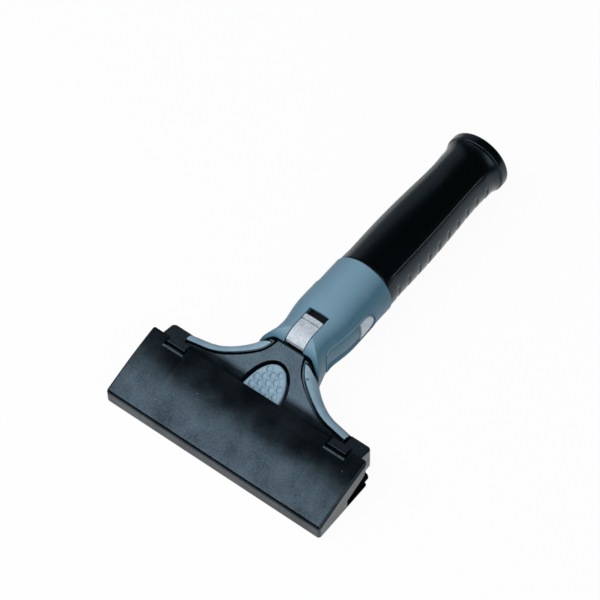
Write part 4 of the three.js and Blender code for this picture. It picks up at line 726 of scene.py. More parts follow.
def head_form(name, rebated):
    """Flared body, front wedge and end tabs in one, with or without the soft strips' rebates and creases."""
    form = flare_skin(name)
    wedge_side = [(HEAD_FRONT, HEAD_BOTTOM), (CAP_REAR, HEAD_BOTTOM), (CAP_REAR, head_top(CAP_REAR)),
                  (HEAD_CREST, head_top(HEAD_CREST)), (HEAD_FRONT, HEAD_LIP_TOP)]
    wedge = prism("wedge", wedge_side, -HEAD_HALF_WIDTH, HEAD_HALF_WIDTH, "x")
    plan = rounded_plan(HEAD_HALF_WIDTH, HEAD_FRONT, CAP_REAR, WEDGE_FRONT_CORNER, WEDGE_REAR_CORNER)
    carve(wedge, prism("wedge_plan", plan, 0, FAR, "z"), "INTERSECT")
    tabs = [head_tab(1), head_tab(-1)]
    if rebated:
        for side, tab in zip((1, -1), tabs):
            for solid in (form, tab):
                carve(solid, edge_strip("rebate", side, INSERT_GAP))
                crease, under = edge_strip("crease", side, CREASE_WIDTH), flare_skin("crease_floor")
                under.data.transform(Matrix.Translation((0, 0, -CREASE_DEPTH * MM)))
                carve(carve(crease, under), edge_strip("lip", side, CREASE_LIP))
                carve(solid, crease)
    for solid in (wedge, *tabs):
        carve(form, solid, "UNION")
    return form


# Base of the head: the black lower half with the blade's seat, two locating pins and the end lugs. A notched
# knuckle for the collar's fork grows out of its rear on a web, and four screws come up through it.
(_, BLADE_EDGE, BLADE_UNDER), (BLADE_HALF_WIDTH, _, _) = room_of("blade")
BLADE_THICKNESS, BLADE_REAR = 0.45, 28.5
CLAMP_THICKNESS, CLAMP_UNDER = 1, BLADE_UNDER + BLADE_THICKNESS + FIT_GAP
CLAMP_RIM_TOP = CLAMP_UNDER + 3.2
CLAMP_REAR = BLADE_REAR + FIT_GAP + CLAMP_THICKNESS
SEAT, SEAT_STEP, SEAT_LAP = BLADE_UNDER - FIT_GAP, CLAMP_REAR + FIT_GAP, 1
PIN_X, PIN_Y, PIN_RADIUS, PIN_ROOT, PIN_TOP = 25, 22, 1.9, SEAT - 1.5, SEAT + 3.2
PAD_CENTRE = 32
PAD_HALF_WIDTH, PAD_REAR_LENGTH, PAD_FRONT_LENGTH = 10.3, 15.3, 6
PAD_FLANGE, PAD_FLANGE_UNDER, PAD_FLANGE_TOP, PAD_FLANGE_FRONT = 1.5, 8.4, 9.9, 31.3
PAD_WELL = 3.6
SCREW_PLACES = ((30, 35), (-30, 35), (9.8, 47.6), (-9.8, 47.6))
SCREW_HEAD_UNDER, SCREW_SHOULDER, SCREW_TIP = 2.4, 4, 15
SCREW_RADIUS, SCREW_HEAD_RADIUS = 1.4, 2.6
KNUCKLE_RADIUS, KNUCKLE_HALF_WIDTH, KNUCKLE_SIDES = 7.5, SLIDE_HALF_WIDTH, 96
NOTCH_PITCH, NOTCH_HALF_WIDTH, NOTCH_DEPTH, NOTCH_OVER = math.radians(30), 1, 1.1, 1
WEB_FRONT, WEB_LOW, WEB_LOW_REAR, WEB_SHOULDER_Y, WEB_SHOULDER_Z = 49.8, 3, 56.5, 58.5, 19.5
LUG_ROOT, LUG_REACH = HEAD_HALF_WIDTH - 1.6, 54.9
LUG_FRONT, LUG_REAR, LUG_TOP, LUG_CORNER = 20.2, 35.2, 4.6, 1.2


def post(name, radius, x, y, low, high, sides=40):
    """An upright round post."""
    return prism(name, circle(x, y, radius, sides), low, high, "z")


def pad_plan(across, along, sides=96):
    """The thumb pad in plan: an egg, long towards the neck, grown by a margin across and along the tool."""
    plan = []
    for k in range(sides):
        turn = 2 * math.pi * k / sides
        length = PAD_REAR_LENGTH if math.sin(turn) > 0 else PAD_FRONT_LENGTH
        x = (PAD_HALF_WIDTH + across) * math.cos(turn)
        plan.append((x, PAD_CENTRE + (length + along) * math.sin(turn)))
    return plan


def flange_room(name):
    """The well for the pad's flange and spring."""
    margin = PAD_FLANGE + FIT_GAP
    room = prism(name, pad_plan(margin, margin), PAD_WELL, PAD_FLANGE_TOP + FIT_GAP, "z")
    behind = block("behind", (-FAR, PAD_FLANGE_FRONT - FIT_GAP, -FAR), (FAR, BEYOND, FAR))
    return carve(room, behind, "INTERSECT")


def drill_screws(piece):
    """Holes for the heads and shanks of the four cover screws."""
    for x, y in SCREW_PLACES:
        carve(piece, post("head_room", SCREW_HEAD_RADIUS + FIT_GAP, x, y, 0, SCREW_SHOULDER + FIT_GAP))
        carve(piece, post("shank_room", SCREW_RADIUS + FIT_GAP, x, y, 0, SCREW_TIP + FIT_GAP))


def web_side(grow):
    """The web between head and knuckle seen from the side."""
    return [(WEB_FRONT - grow, WEB_LOW - grow), (WEB_LOW_REAR, WEB_LOW - grow),
            (HINGE_Y, AXIS_Z - KNUCKLE_RADIUS - grow), (HINGE_Y, AXIS_Z + KNUCKLE_RADIUS + grow),
            (WEB_SHOULDER_Y - grow, WEB_SHOULDER_Z + grow), (WEB_FRONT - grow, HEAD_SPLIT + grow)]


base = head_form("head_base_moulding", False)
carve(base, block("blade_room", (-FAR, 0, SEAT), (FAR, SEAT_STEP, FAR)))
carve(base, block("cover_room", (-FAR, SEAT_STEP - SEAT_LAP, HEAD_SPLIT), (FAR, BEYOND, FAR)))
carve(base, flange_room("spring_well"))
drill_screws(base)
knuckle = prism("web", web_side(0), -KNUCKLE_HALF_WIDTH, KNUCKLE_HALF_WIDTH, "x")
disc = rod("disc", KNUCKLE_RADIUS, HINGE_Y, AXIS_Z, -KNUCKLE_HALF_WIDTH, KNUCKLE_HALF_WIDTH, KNUCKLE_SIDES)
carve(knuckle, disc, "UNION")
carve(knuckle, rod("pin_hole", PIN_HOLE_RADIUS, HINGE_Y, AXIS_Z, -FAR, FAR))
tooth_turn = math.atan2(TOOTH_TIP_Z - AXIS_Z, TOOTH_TIP_Y - HINGE_Y)
low, high = KNUCKLE_RADIUS - NOTCH_DEPTH, KNUCKLE_RADIUS + NOTCH_OVER
for turn in (tooth_turn, tooth_turn - NOTCH_PITCH):
    outward_y, outward_z = math.cos(turn), math.sin(turn)
    notch = []
    for reach, aside in ((low, -NOTCH_HALF_WIDTH), (high, -NOTCH_HALF_WIDTH),
                         (high, NOTCH_HALF_WIDTH), (low, NOTCH_HALF_WIDTH)):
        notch.append((HINGE_Y + reach * outward_y - aside * outward_z,
                      AXIS_Z + reach * outward_z + aside * outward_y))
    carve(knuckle, prism("notch", notch, -FAR, FAR, "x"))
carve(base, knuckle, "UNION")
round_y, round_z = LUG_REAR - LUG_CORNER, LUG_TOP - LUG_CORNER
lug_side = [(LUG_FRONT, HEAD_BOTTOM)]
lug_side += arc(round_y, HEAD_BOTTOM + LUG_CORNER, LUG_CORNER, LUG_CORNER, -90, 0)
lug_side += arc(round_y, round_z, LUG_CORNER, LUG_CORNER, 0, 90)
lug_side += arc(LUG_FRONT + LUG_CORNER, round_z, LUG_CORNER, LUG_CORNER, 90, 180)
for side in (1, -1):
    carve(base, post("locating_pin", PIN_RADIUS, side * PIN_X, PIN_Y, PIN_ROOT, PIN_TOP), "UNION")
    lug = prism("lug", lug_side, *side_span(side, LUG_ROOT, LUG_REACH), "x")
    slope = [(HEAD_BOTTOM, side * LUG_REACH), (HEAD_BOTTOM + FAR, side * (LUG_REACH - FAR)),
             (HEAD_BOTTOM + FAR, side * FAR), (HEAD_BOTTOM, side * FAR)]
    carve(lug, prism("slope", slope, 0, FAR, "y"))
    carve(base, lug, "UNION")
smooth(base)

# Black ABS straight from a fine-textured mould: deep and even, a cool sheen that a fine mottle breaks up, and
# faint swells where the walls shrank. The grit is drawn coarser than its real tenth of a millimetre.
ABS_CLOUD, ABS_SWELL, ABS_GRAIN, ABS_GRIT, ABS_DUST = 11, 13, 0.8, 0.45, 5
black_abs, tree, shader = new_material("abs_black_fine_texture", {"IOR": 1.56, "Specular Tint": COOL_SHEEN})
spot = add(tree, "TexCoord").outputs["Object"]
cloud = add(tree, "TexNoise", {"Vector": spot, "Scale": 1 / (ABS_CLOUD * MM), "Detail": 4})
swell = add(tree, "TexNoise", {"Vector": spot, "Scale": 1 / (ABS_SWELL * MM), "Detail": 0.5})
grain = add(tree, "TexNoise", {"Vector": spot, "Scale": 1 / (ABS_GRAIN * MM), "Detail": 2})
grit = add(tree, "TexNoise", {"Vector": spot, "Scale": 1 / (ABS_GRIT * MM), "Detail": 2})
tone = add(tree, "Mix", {"Factor": cloud, "A": linear("#030506"), "B": linear("#070a0c")}, data_type="RGBA")
dusty = dusted(tree, spot, tone, spacing=ABS_DUST, share=0.3, colour="#4c565b")
rough = add(tree, "MapRange", {"Value": cloud, "From Min": 0.3, "From Max": 0.7,
                               "To Min": 0.17, "To Max": 0.23})
mottle = add(tree, "Math", {0: grain, 1: 0.8, 2: cloud}, operation="MULTIPLY_ADD")
gloss = add(tree, "MapRange", {"Value": mottle, "From Min": 0.65, "From Max": 1.15,
                               "To Min": 0.34, "To Max": 0.7})
waves = add(tree, "Bump", {"Height": swell, "Strength": 1, "Distance": 0.08 * MM})
bump = add(tree, "Bump", {"Height": grit, "Strength": 0.12, "Distance": 0.04 * MM, "Normal": waves})
wire(shader, {"Base Color": dusty, "Roughness": rough, "Specular IOR Level": gloss, "Normal": bump})
wear(base, black_abs, "head", "black_plastic", "head_base")

# Hinge pin: a plain pin of ground steel with chamfered ends, pushed through the collar's fork and the head's
# knuckle from the left. The head tilts about it.
HINGE_PIN_RADIUS, HINGE_PIN_END_RADIUS, HINGE_PIN_SIDES = 2.4, 1.9, 60
HINGE_PIN_HALF_LENGTH = pin_high[0]
HINGE_PIN_CHAMFER = 0.045 * HINGE_PIN_HALF_LENGTH
straight = HINGE_PIN_HALF_LENGTH - HINGE_PIN_CHAMFER
rings = []
for x, radius in ((-HINGE_PIN_HALF_LENGTH, HINGE_PIN_END_RADIUS), (-straight, HINGE_PIN_RADIUS),
                  (0, HINGE_PIN_RADIUS), (straight, HINGE_PIN_RADIUS),
                  (HINGE_PIN_HALF_LENGTH, HINGE_PIN_END_RADIUS)):
    rings.append([(x, y, z) for y, z in circle(HINGE_Y, AXIS_Z, radius, HINGE_PIN_SIDES)])
pin = smooth(skin("hinge_pin_ground", rings))

# Ground spring steel: bright grey with hair-fine lines round or along the piece and a film of oil. The lines
# are drawn about ten times as wide as they are, so that they show.
STEEL_LINE_WIDTH, STEEL_LINE_LENGTH = 0.2, 6
ground_steel, tree, shader = new_material("spring_steel_ground", {"Metallic": 1})
spot = add(tree, "TexCoord").outputs["Object"]
line_sizes = (STEEL_LINE_WIDTH, STEEL_LINE_WIDTH, STEEL_LINE_LENGTH)
lines = add(tree, "Mapping", {"Vector": spot, "Scale": [1 / (size * MM) for size in line_sizes]})
grain = add(tree, "TexNoise", {"Vector": lines, "Scale": 1, "Detail": 3})
tone = add(tree, "Mix", {"Factor": grain, "A": linear("#8d9295"), "B": linear("#b4b8ba")}, data_type="RGBA")
rough = add(tree, "MapRange", {"Value": grain, "To Min": 0.25, "To Max": 0.4})
wire(shader, {"Base Color": tone, "Roughness": rough})
wear(pin, ground_steel, "handle", "steel", "hinge_pin")

# Springs: round spring wire wound cold into open coils behind the tongue and under the thumb pad, and two
# bowed leaves of thin strip behind the pole buttons.
BUTTON_COIL_RADIUS, BUTTON_COIL_WIRE, BUTTON_COIL_CURLS = 3.6, 0.35, 4
BUTTON_COIL_Y, BUTTON_COIL_LOW, BUTTON_COIL_LENGTH, BUTTON_COIL_PRESSED = 38, 3.9, 5.4, 0.66
SLIDE_COIL_RADIUS, SLIDE_COIL_WIRE, SLIDE_COIL_CURLS = 1.8, 0.25, 6
SLIDE_COIL_Z, SLIDE_COIL_FRONT, SLIDE_COIL_LENGTH, SLIDE_COIL_PRESSED = 20.6, 77.8, 7.9, 0.58
LEAF_FOOT, LEAF_BOW, LEAF_THICKNESS, LEAF_PRESSED = 8.05, 1.75, 0.35, 0.17
LEAF_HALF_LENGTH, LEAF_HALF_HEIGHT, LEAF_STEPS = 3.6, 2.5, 32
LEAF_MIDDLE = (BUTTON_FRONT + BUTTON_REAR) / 2


def coil(name, radius, wire_radius, curls, length, place, steps=30, sides=10):
    """One unbroken round wire wound around a local axis and put in place."""
    rings = []
    for s in range(curls * steps + 1):
        turn = 2 * math.pi * s / steps
        height = wire_radius + (length - 2 * wire_radius) * s / (curls * steps)
        ring = []
        for k in range(sides):
            angle = 2 * math.pi * k / sides
            r = radius + wire_radius * math.cos(angle)
            ring.append(place(r * math.cos(turn), r * math.sin(turn), height + wire_radius * math.sin(angle)))
        rings.append(ring)
    return smooth(skin(name, rings), angle=60)


def under_pad(u, v, w):
    """A place in the upright coil that pushes the thumb pad up."""
    return u, BUTTON_COIL_Y + v, BUTTON_COIL_LOW + w


def behind_tongue(u, v, w):
    """A place in the lying coil that pushes the angle slide forward."""
    return v, SLIDE_COIL_FRONT + w, SLIDE_COIL_Z + u


button_coil = coil("button_spring_coil", BUTTON_COIL_RADIUS, BUTTON_COIL_WIRE, BUTTON_COIL_CURLS,
                   BUTTON_COIL_LENGTH, under_pad)
wear(button_coil, ground_steel, "head", "steel", "button_spring")
button_coil_foot = at(0, BUTTON_COIL_Y, BUTTON_COIL_LOW)
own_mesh(button_coil)
slide_coil = coil("slide_spring_coil", SLIDE_COIL_RADIUS, SLIDE_COIL_WIRE, SLIDE_COIL_CURLS,
                  SLIDE_COIL_LENGTH, behind_tongue)
wear(slide_coil, ground_steel, "handle", "steel", "slide_spring")
slide_coil_foot = at(0, SLIDE_COIL_FRONT + SLIDE_COIL_LENGTH, SLIDE_COIL_Z)
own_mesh(slide_coil)
for side, word in ((1, "right"), (-1, "left")):
    rings = []
    for k in range(LEAF_STEPS + 1):
        along = 2 * k / LEAF_STEPS - 1
        x = LEAF_FOOT + (LEAF_BOW - LEAF_THICKNESS) * (1 - along ** 2)
        y = LEAF_MIDDLE + LEAF_HALF_LENGTH * along
        corners = ((x, -1), (x + LEAF_THICKNESS, -1), (x + LEAF_THICKNESS, 1), (x, 1))
        rings.append([(side * u, y, AXIS_Z + v * LEAF_HALF_HEIGHT) for u, v in corners])
    leaf = smooth(skin("pole_spring_leaf_" + word, rings))
    wear(leaf, ground_steel, "handle", "steel", "pole_spring_" + word)
    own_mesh(leaf)

# Blade: hardened carbon steel strip, ground to a bevel on both faces along its front edge, with two holes
# that drop over the base's pins. It is the one loose part, changed when it is blunt.
BLADE_BEVEL, BLADE_EDGE_HALF_THICKNESS = 1.6, 0.02
blade_top, edge_z = BLADE_UNDER + BLADE_THICKNESS, BLADE_UNDER + BLADE_THICKNESS / 2
blade_side = [(BLADE_EDGE, edge_z - BLADE_EDGE_HALF_THICKNESS), (BLADE_EDGE + BLADE_BEVEL, BLADE_UNDER),
              (BLADE_REAR, BLADE_UNDER), (BLADE_REAR, blade_top),
              (BLADE_EDGE + BLADE_BEVEL, blade_top), (BLADE_EDGE, edge_z + BLADE_EDGE_HALF_THICKNESS)]
blade = prism("blade_strip", blade_side, -BLADE_HALF_WIDTH, BLADE_HALF_WIDTH, "x")
for side in (1, -1):
    carve(blade, post("pin_hole", PIN_RADIUS + FIT_GAP, side * PIN_X, PIN_Y, 0, FAR))
smooth(blade, angle=5)

# Hardened carbon steel, rolled and ground: a cool grey with long grinding lines across its width, drawn
# about ten times as wide as they are, so that they show.
BLADE_LINE_LENGTH, BLADE_LINE_WIDTH, BLADE_LINE_DEPTH = 25, 0.25, 2
blade_steel, tree, shader = new_material("carbon_steel_hardened_ground", {"Metallic": 1})
spot = add(tree, "TexCoord").outputs["Object"]
line_sizes = (BLADE_LINE_LENGTH, BLADE_LINE_WIDTH, BLADE_LINE_DEPTH)
lines = add(tree, "Mapping", {"Vector": spot, "Scale": [1 / (size * MM) for size in line_sizes]})
grain = add(tree, "TexNoise", {"Vector": lines, "Scale": 1, "Detail": 4})
tone = add(tree, "Mix", {"Factor": grain, "A": linear("#878c90"), "B": linear("#a9aeb2")}, data_type="RGBA")
rough = add(tree, "MapRange", {"Value": grain, "To Min": 0.42, "To Max": 0.58})
wire(shader, {"Base Color": tone, "Roughness": rough})
wear(blade, blade_steel, "head", "blade_steel", "blade")

# Blade clamp: a strip of zinc-plated sheet steel with its rear edge bent up, which holds the blade down on
# its seat. The base's pins come up through it too.
CLAMP_FRONT, CLAMP_BEND = 15, 1.2
CLAMP_HALF_WIDTH = room_of("blade_clamp")[1][0]
clamp_side = [(CLAMP_FRONT, CLAMP_UNDER)]
clamp_side += arc(CLAMP_REAR - CLAMP_BEND, CLAMP_UNDER + CLAMP_BEND, CLAMP_BEND, CLAMP_BEND, -90, 0, steps=6)
clamp_side += [(CLAMP_REAR, CLAMP_RIM_TOP), (CLAMP_REAR - CLAMP_THICKNESS, CLAMP_RIM_TOP),
               (CLAMP_REAR - CLAMP_THICKNESS, CLAMP_UNDER + CLAMP_THICKNESS),
               (CLAMP_FRONT, CLAMP_UNDER + CLAMP_THICKNESS)]
clamp = prism("blade_clamp_strip", clamp_side, -CLAMP_HALF_WIDTH, CLAMP_HALF_WIDTH, "x")
for side in (1, -1):
    carve(clamp, post("pin_hole", PIN_RADIUS + FIT_GAP, side * PIN_X, PIN_Y, 0, FAR))
smooth(clamp)

# Zinc plate on mild steel: a soft grey metal with faint cloudy patches where the plating took differently.
ZINC_CLOUD = 3
zinc, tree, shader = new_material("mild_steel_zinc_plated", {"Metallic": 1})
spot = add(tree, "TexCoord").outputs["Object"]
cloud = add(tree, "TexNoise", {"Vector": spot, "Scale": 1 / (ZINC_CLOUD * MM), "Detail": 4})
tone = add(tree, "Mix", {"Factor": cloud, "A": linear("#8f979c"), "B": linear("#b6bdc0")}, data_type="RGBA")
rough = add(tree, "MapRange", {"Value": cloud, "To Min": 0.28, "To Max": 0.46})
wire(shader, {"Base Color": tone, "Roughness": rough})
wear(clamp, zinc, "head", "steel", "blade_clamp")

# Cover screws: four small zinc-plated screws with cross drives, sunk into the base from below. They pull the
# cover down on the base.
SCREW_SIDES, SCREW_TIP_LENGTH, SCREW_TIP_RADIUS = 48, 0.8, 0.7
SCREW_ROUND = ((0.4, 0), (0.1, 0.15), (0, 0.45))
SCREW_DRIVE_REACH, SCREW_DRIVE_HALF_WIDTH, SCREW_DRIVE_DEPTH = 1.9, 0.35, 0.8
screw_profile = [(0, SCREW_HEAD_UNDER)]
screw_profile += [(SCREW_HEAD_RADIUS - inset, SCREW_HEAD_UNDER + rise) for inset, rise in SCREW_ROUND]
screw_profile += [(SCREW_HEAD_RADIUS, SCREW_SHOULDER), (SCREW_RADIUS, SCREW_SHOULDER),
                  (SCREW_RADIUS, SCREW_TIP - SCREW_TIP_LENGTH), (SCREW_TIP_RADIUS, SCREW_TIP), (0, SCREW_TIP)]
reach, half, top = SCREW_DRIVE_REACH, SCREW_DRIVE_HALF_WIDTH, SCREW_HEAD_UNDER + SCREW_DRIVE_DEPTH
for number, (x, y) in enumerate(SCREW_PLACES, 1):
    rings = [[(u, v, z) for u, v in circle(x, y, radius, SCREW_SIDES)] for radius, z in screw_profile]
    screw = skin("cover_screw_zinc_" + str(number), rings, looped=True)
    carve(screw, block("drive", (x - reach, y - half, 0), (x + reach, y + half, top)))
    carve(screw, block("drive", (x - half, y - reach, 0), (x + half, y + reach, top)))
    wear(smooth(screw), zinc, "head", "steel", "cover_screw_" + str(number))

# Cover of the head: the black upper half with its rolled edges, the pad's window, and a raised clip block on
# each end tab that the cap's notches snap over. The soft strips have their own rebates in the rolled edges.
CLIP_X, CLIP_HALF_WIDTH = HEAD_HALF_WIDTH - 10, 4.7
CLIP_FRONT, CLIP_REAR, CLIP_ROOT = 29.8, 34.2, 9.4
CLIP_TOP, CLIP_REAR_TOP = 18, 17
CLIP_LEAD, CLIP_LEAD_DROP, CLIP_EDGE = 0.6, 0.35, 0.3
PAD_GROOVE = 0.8
WEB_GAP = 0.4
cover = head_form("head_cover_moulding", True)
carve(cover, block("clamp_room", (-FAR, 0, -FAR), (FAR, SEAT_STEP, CLAMP_UNDER + CLAMP_THICKNESS + FIT_GAP)))
carve(cover, block("rim_room", (-FAR, BLADE_REAR - FIT_GAP, -FAR),
                   (FAR, SEAT_STEP + FIT_GAP, CLAMP_RIM_TOP + FIT_GAP)))
carve(cover, block("base_room", (-FAR, SEAT_STEP - SEAT_LAP, -FAR), (FAR, BEYOND, COVER_UNDER)))
clip_side = [(CLIP_FRONT, CLIP_ROOT), (CLIP_REAR, CLIP_ROOT), (CLIP_REAR, CLIP_REAR_TOP),
             (CLIP_FRONT + CLIP_LEAD, CLIP_TOP), (CLIP_FRONT, CLIP_TOP - CLIP_LEAD_DROP)]
for side in (1, -1):
    clip = prism("clip", clip_side, side * CLIP_X - CLIP_HALF_WIDTH, side * CLIP_X + CLIP_HALF_WIDTH, "x")
    carve(cover, soften(clip, CLIP_EDGE), "UNION")
    carve(cover, post("pin_room", PIN_RADIUS + FIT_GAP, side * PIN_X, PIN_Y, 0, PIN_TOP + FIT_GAP))
carve(cover, prism("window", pad_plan(PAD_GROOVE, PAD_GROOVE), 0, FAR, "z"))
carve(cover, flange_room("flange_room"))
carve(cover, prism("web_room", web_side(WEB_GAP), -FORK_HALF_WIDTH, FORK_HALF_WIDTH, "x"))
drill_screws(cover)
smooth(cover)
wear(cover, black_abs, "head", "black_plastic", "head_cover")

# Soft inserts: two strips of blue-grey elastomer moulded into the rebates along the concave edges, flush with
# the rolled edge, so that the head can be held there and does not mark the frame.
GATE_X, GATE_Y, GATE_RADIUS, GATE_DEPTH = 13.4, 48, 0.55, 0.45

# Soft elastomer with a dull skin: the palest blue-grey of the tool, light spread wide, slight mottling,
# painted shade in the hollows. The grit is drawn coarser than its real tenth of a millimetre so that it
# shows.
ELASTOMER_CLOUD, ELASTOMER_GRIT = 6, 0.4
elastomer, tree, shader = new_material("elastomer_blue_grey_dull", {"IOR": 1.48})
spot = add(tree, "TexCoord").outputs["Object"]
cloud = add(tree, "TexNoise", {"Vector": spot, "Scale": 1 / (ELASTOMER_CLOUD * MM), "Detail": 4})
grit = add(tree, "TexNoise", {"Vector": spot, "Scale": 1 / (ELASTOMER_GRIT * MM), "Detail": 2})
spread = add(tree, "MapRange", {"Value": cloud, "From Min": 0.3, "From Max": 0.7})
tone = add(tree, "Mix", {"Factor": spread, "A": linear("#87a3b3"), "B": linear("#95b2c1")}, data_type="RGBA")
# Painted shade: hollow places, where the pointiness is low, are darkened towards a deep blue-grey.
bend = add(tree, "NewGeometry").outputs["Pointiness"]
painted_hollow_shade = add(tree, "MapRange", {"Value": bend, "From Min": 0.4, "From Max": 0.495, "To Min": 0.9, "To Max": 0})
hollow_shaded_tone = add(tree, "Mix", {"Factor": painted_hollow_shade, "A": tone, "B": linear("#2e4654")}, data_type="RGBA")
rough = add(tree, "MapRange", {"Value": grit, "To Min": 0.5, "To Max": 0.65})
bump = add(tree, "Bump", {"Height": grit, "Strength": 0.15, "Distance": 0.05 * MM})
wire(shader, {"Base Color": hollow_shaded_tone, "Roughness": rough, "Normal": bump})
for side, word in ((1, "right"), (-1, "left")):
    strip = carve(flare_skin("insert_soft_" + word), edge_strip("outline", side, 0), "INTERSECT")
    if side == 1:
        _, gate, _, _ = strip.ray_cast(at(GATE_X, GATE_Y, FAR), (0, 0, -1))
        carve(strip, post("gate", GATE_RADIUS, GATE_X, GATE_Y, gate.z / MM - GATE_DEPTH, FAR, sides=16))
    wear(smooth(strip), elastomer, "head", "soft_insert", "insert_" + word)

# Thumb button: the egg-shaped pad that lets the blade go, moulded in the same blue-grey as the strips. Its
# top follows the cover and has shallow round dimples on a hexagonal grid; a flange below keeps it in.
DIMPLE_PITCH, DIMPLE_RADIUS, DIMPLE_DEPTH, DIMPLE_WALL = 3.4, 1.62, 0.75, 0.38
DIMPLE_MARGIN, DIMPLE_ROWS, DIMPLE_COLUMNS = 2, range(-4, 5), range(-2, 6)
PAD_ROUND, PAD_CELL = 1.1, 0.19
PAD_SIDE_GAP, PAD_END_GAP = 1, 0.3
PAD_PLUG_UNDER, PAD_PLUG_LAP = 10.5, 0.5
PAD_SPRING_SEAT_RADIUS, PAD_SPRING_SEAT_TOP = 4.25, 9.6
dimples = []
for row in DIMPLE_ROWS:
    for column in DIMPLE_COLUMNS:
        x = row * DIMPLE_PITCH * math.sqrt(3) / 2
        y = (column + (0.5 if row % 2 else 0)) * DIMPLE_PITCH
        if math.hypot(x / (PAD_HALF_WIDTH - DIMPLE_MARGIN), y / (PAD_REAR_LENGTH - DIMPLE_MARGIN)) <= 1:
            dimples.append((x, PAD_CENTRE + y))


def pad_height(x, y):
    """Height of the pad's top: the cover's own sweep, rounded at the rim and dimpled."""
    length = (PAD_REAR_LENGTH if y > PAD_CENTRE else PAD_FRONT_LENGTH) - PAD_END_GAP
    out = math.hypot(x / (PAD_HALF_WIDTH - PAD_SIDE_GAP), (y - PAD_CENTRE) / length)
    rim = min(max(PAD_ROUND - (1 - out) * PAD_HALF_WIDTH, 0), PAD_ROUND)
    z = head_top(y) - PAD_ROUND + math.sqrt(PAD_ROUND ** 2 - rim ** 2)
    near = min(math.hypot(x - u, y - v) for u, v in dimples)
    return z - DIMPLE_DEPTH * ramp(near, DIMPLE_RADIUS, DIMPLE_RADIUS - DIMPLE_WALL)


columns = int(PAD_HALF_WIDTH / PAD_CELL) + 1
rows = int((PAD_REAR_LENGTH + PAD_FRONT_LENGTH) / PAD_CELL) + 2
across = [column * PAD_CELL for column in range(-columns, columns + 1)]
rings = []
for row in range(rows):
    y = PAD_CENTRE - PAD_FRONT_LENGTH + row * PAD_CELL
    top = [(x, y, pad_height(x, y)) for x in across]
    rings.append([(across[0], y, PAD_PLUG_UNDER), *top, (across[-1], y, PAD_PLUG_UNDER)])
pad = skin("thumb_pad", rings)
egg = pad_plan(-PAD_SIDE_GAP, -PAD_END_GAP)
carve(pad, prism("egg", egg, 0, FAR, "z"), "INTERSECT")
stem = prism("stem", egg, PAD_FLANGE_UNDER, PAD_PLUG_UNDER + PAD_PLUG_LAP, "z")
carve(stem, prism("flange", pad_plan(PAD_FLANGE, PAD_FLANGE), PAD_FLANGE_UNDER, PAD_FLANGE_TOP, "z"), "UNION")
carve(stem, block("behind", (-FAR, PAD_FLANGE_FRONT, -FAR), (FAR, BEYOND, FAR)), "INTERSECT")
carve(pad, stem, "UNION")
carve(pad, post("spring_seat", PAD_SPRING_SEAT_RADIUS, 0, BUTTON_COIL_Y, 0, PAD_SPRING_SEAT_TOP))
smooth(pad, angle=50)
wear(pad, elastomer, "thumb", "soft_insert", "thumb_button")

# Safety cap: a thin black wedge pushed over the blade, open behind, moulded in one. Each end wall has a slot
# for a lug of the base, and the rear edge has a notch and a low rib for each clip of the cover.
CAP_INNER_HALF, CAP_FLOOR = CAP_HALF_WIDTH - CAP_WALL, 1.5
CAP_ROUND, CAP_LEAST_ROUND = 1.6, 0.2
CAP_BEND_SOFTNESS, CAP_BEND_STEPS = 8, 12
CAP_END_ROUND, CAP_END_STEPS = 1.4, 9
CAP_FRONT_CORNER, CAP_REAR_CORNER = 1, 1.5
CAP_OVER = 5
SLOT_FRONT, SLOT_FRONT_TOP, SLOT_BEND_Y, SLOT_BEND_Z, SLOT_TOP = 18.6, 6, 29.4, 10.3, 15
NOTCH_FRONT, NOTCH_BOTTOM, NOTCH_HALF = 28.2, 11.5, CLIP_HALF_WIDTH + 0.6
RIB_WIDTH, RIB_ROOT, RIB_RISE, RIB_SINK = 1.2, 1, 0.22, 0.05


def bent(start, middle, end, steps=14):
    """A smooth bend between two points, drawn towards a third."""
    points = []
    for k in range(steps + 1):
        t = k / steps
        u = (1 - t) ** 2 * start[0] + 2 * t * (1 - t) * middle[0] + t * t * end[0]
        v = (1 - t) ** 2 * start[1] + 2 * t * (1 - t) * middle[1] + t * t * end[1]
        points.append((u, v))
    return points


def cap_outline(inset):
    """The cap seen from its end, drawn in by an inset."""
    def top(y):
        return y, cap_top(y) - inset
    bend_y = CAP_PROFILE[1][0]
    behind, before = bend_y + CAP_BEND_SOFTNESS, bend_y - CAP_BEND_SOFTNESS
    nose = max(CAP_ROUND - inset, CAP_LEAST_ROUND)
    brow = top(inset)
    outline = [(CAP_REAR, inset), top(CAP_REAR)]
    outline += bent(top(behind), top(bend_y), top(before), CAP_BEND_STEPS)
    outline += bent(top(inset + nose), brow, (inset, brow[1] - nose))
    return outline + bent((inset, inset + nose), (inset, inset), (inset + nose, inset))


ends = []
for k in range(CAP_END_STEPS + 1):
    turn = math.pi / 2 * k / CAP_END_STEPS
    x = CAP_HALF_WIDTH - CAP_END_ROUND * (1 - math.sin(turn))
    ends.append((x, cap_outline(CAP_END_ROUND * (1 - math.cos(turn)))))
rings = [[(-x, y, z) for y, z in outline] for x, outline in reversed(ends)]
rings += [[(x, y, z) for y, z in outline] for x, outline in ends]
shell = skin("blade_cap_shell", rings)
corner_plan = rounded_plan(CAP_HALF_WIDTH, 0, CAP_REAR, CAP_FRONT_CORNER, CAP_REAR_CORNER)
carve(shell, prism("corners", corner_plan, -FAR, FAR, "z"), "INTERSECT")
bend_y, bend_z = CAP_PROFILE[1]
mouth = CAP_REAR + CAP_OVER
hollow = [(CAP_WALL, CAP_FLOOR), (mouth, CAP_FLOOR), (mouth, cap_top(mouth) - CAP_WALL),
          (bend_y, bend_z - CAP_WALL), (CAP_WALL, cap_top(CAP_WALL) - CAP_WALL)]
carve(shell, prism("hollow", hollow, -CAP_INNER_HALF, CAP_INNER_HALF, "x"))
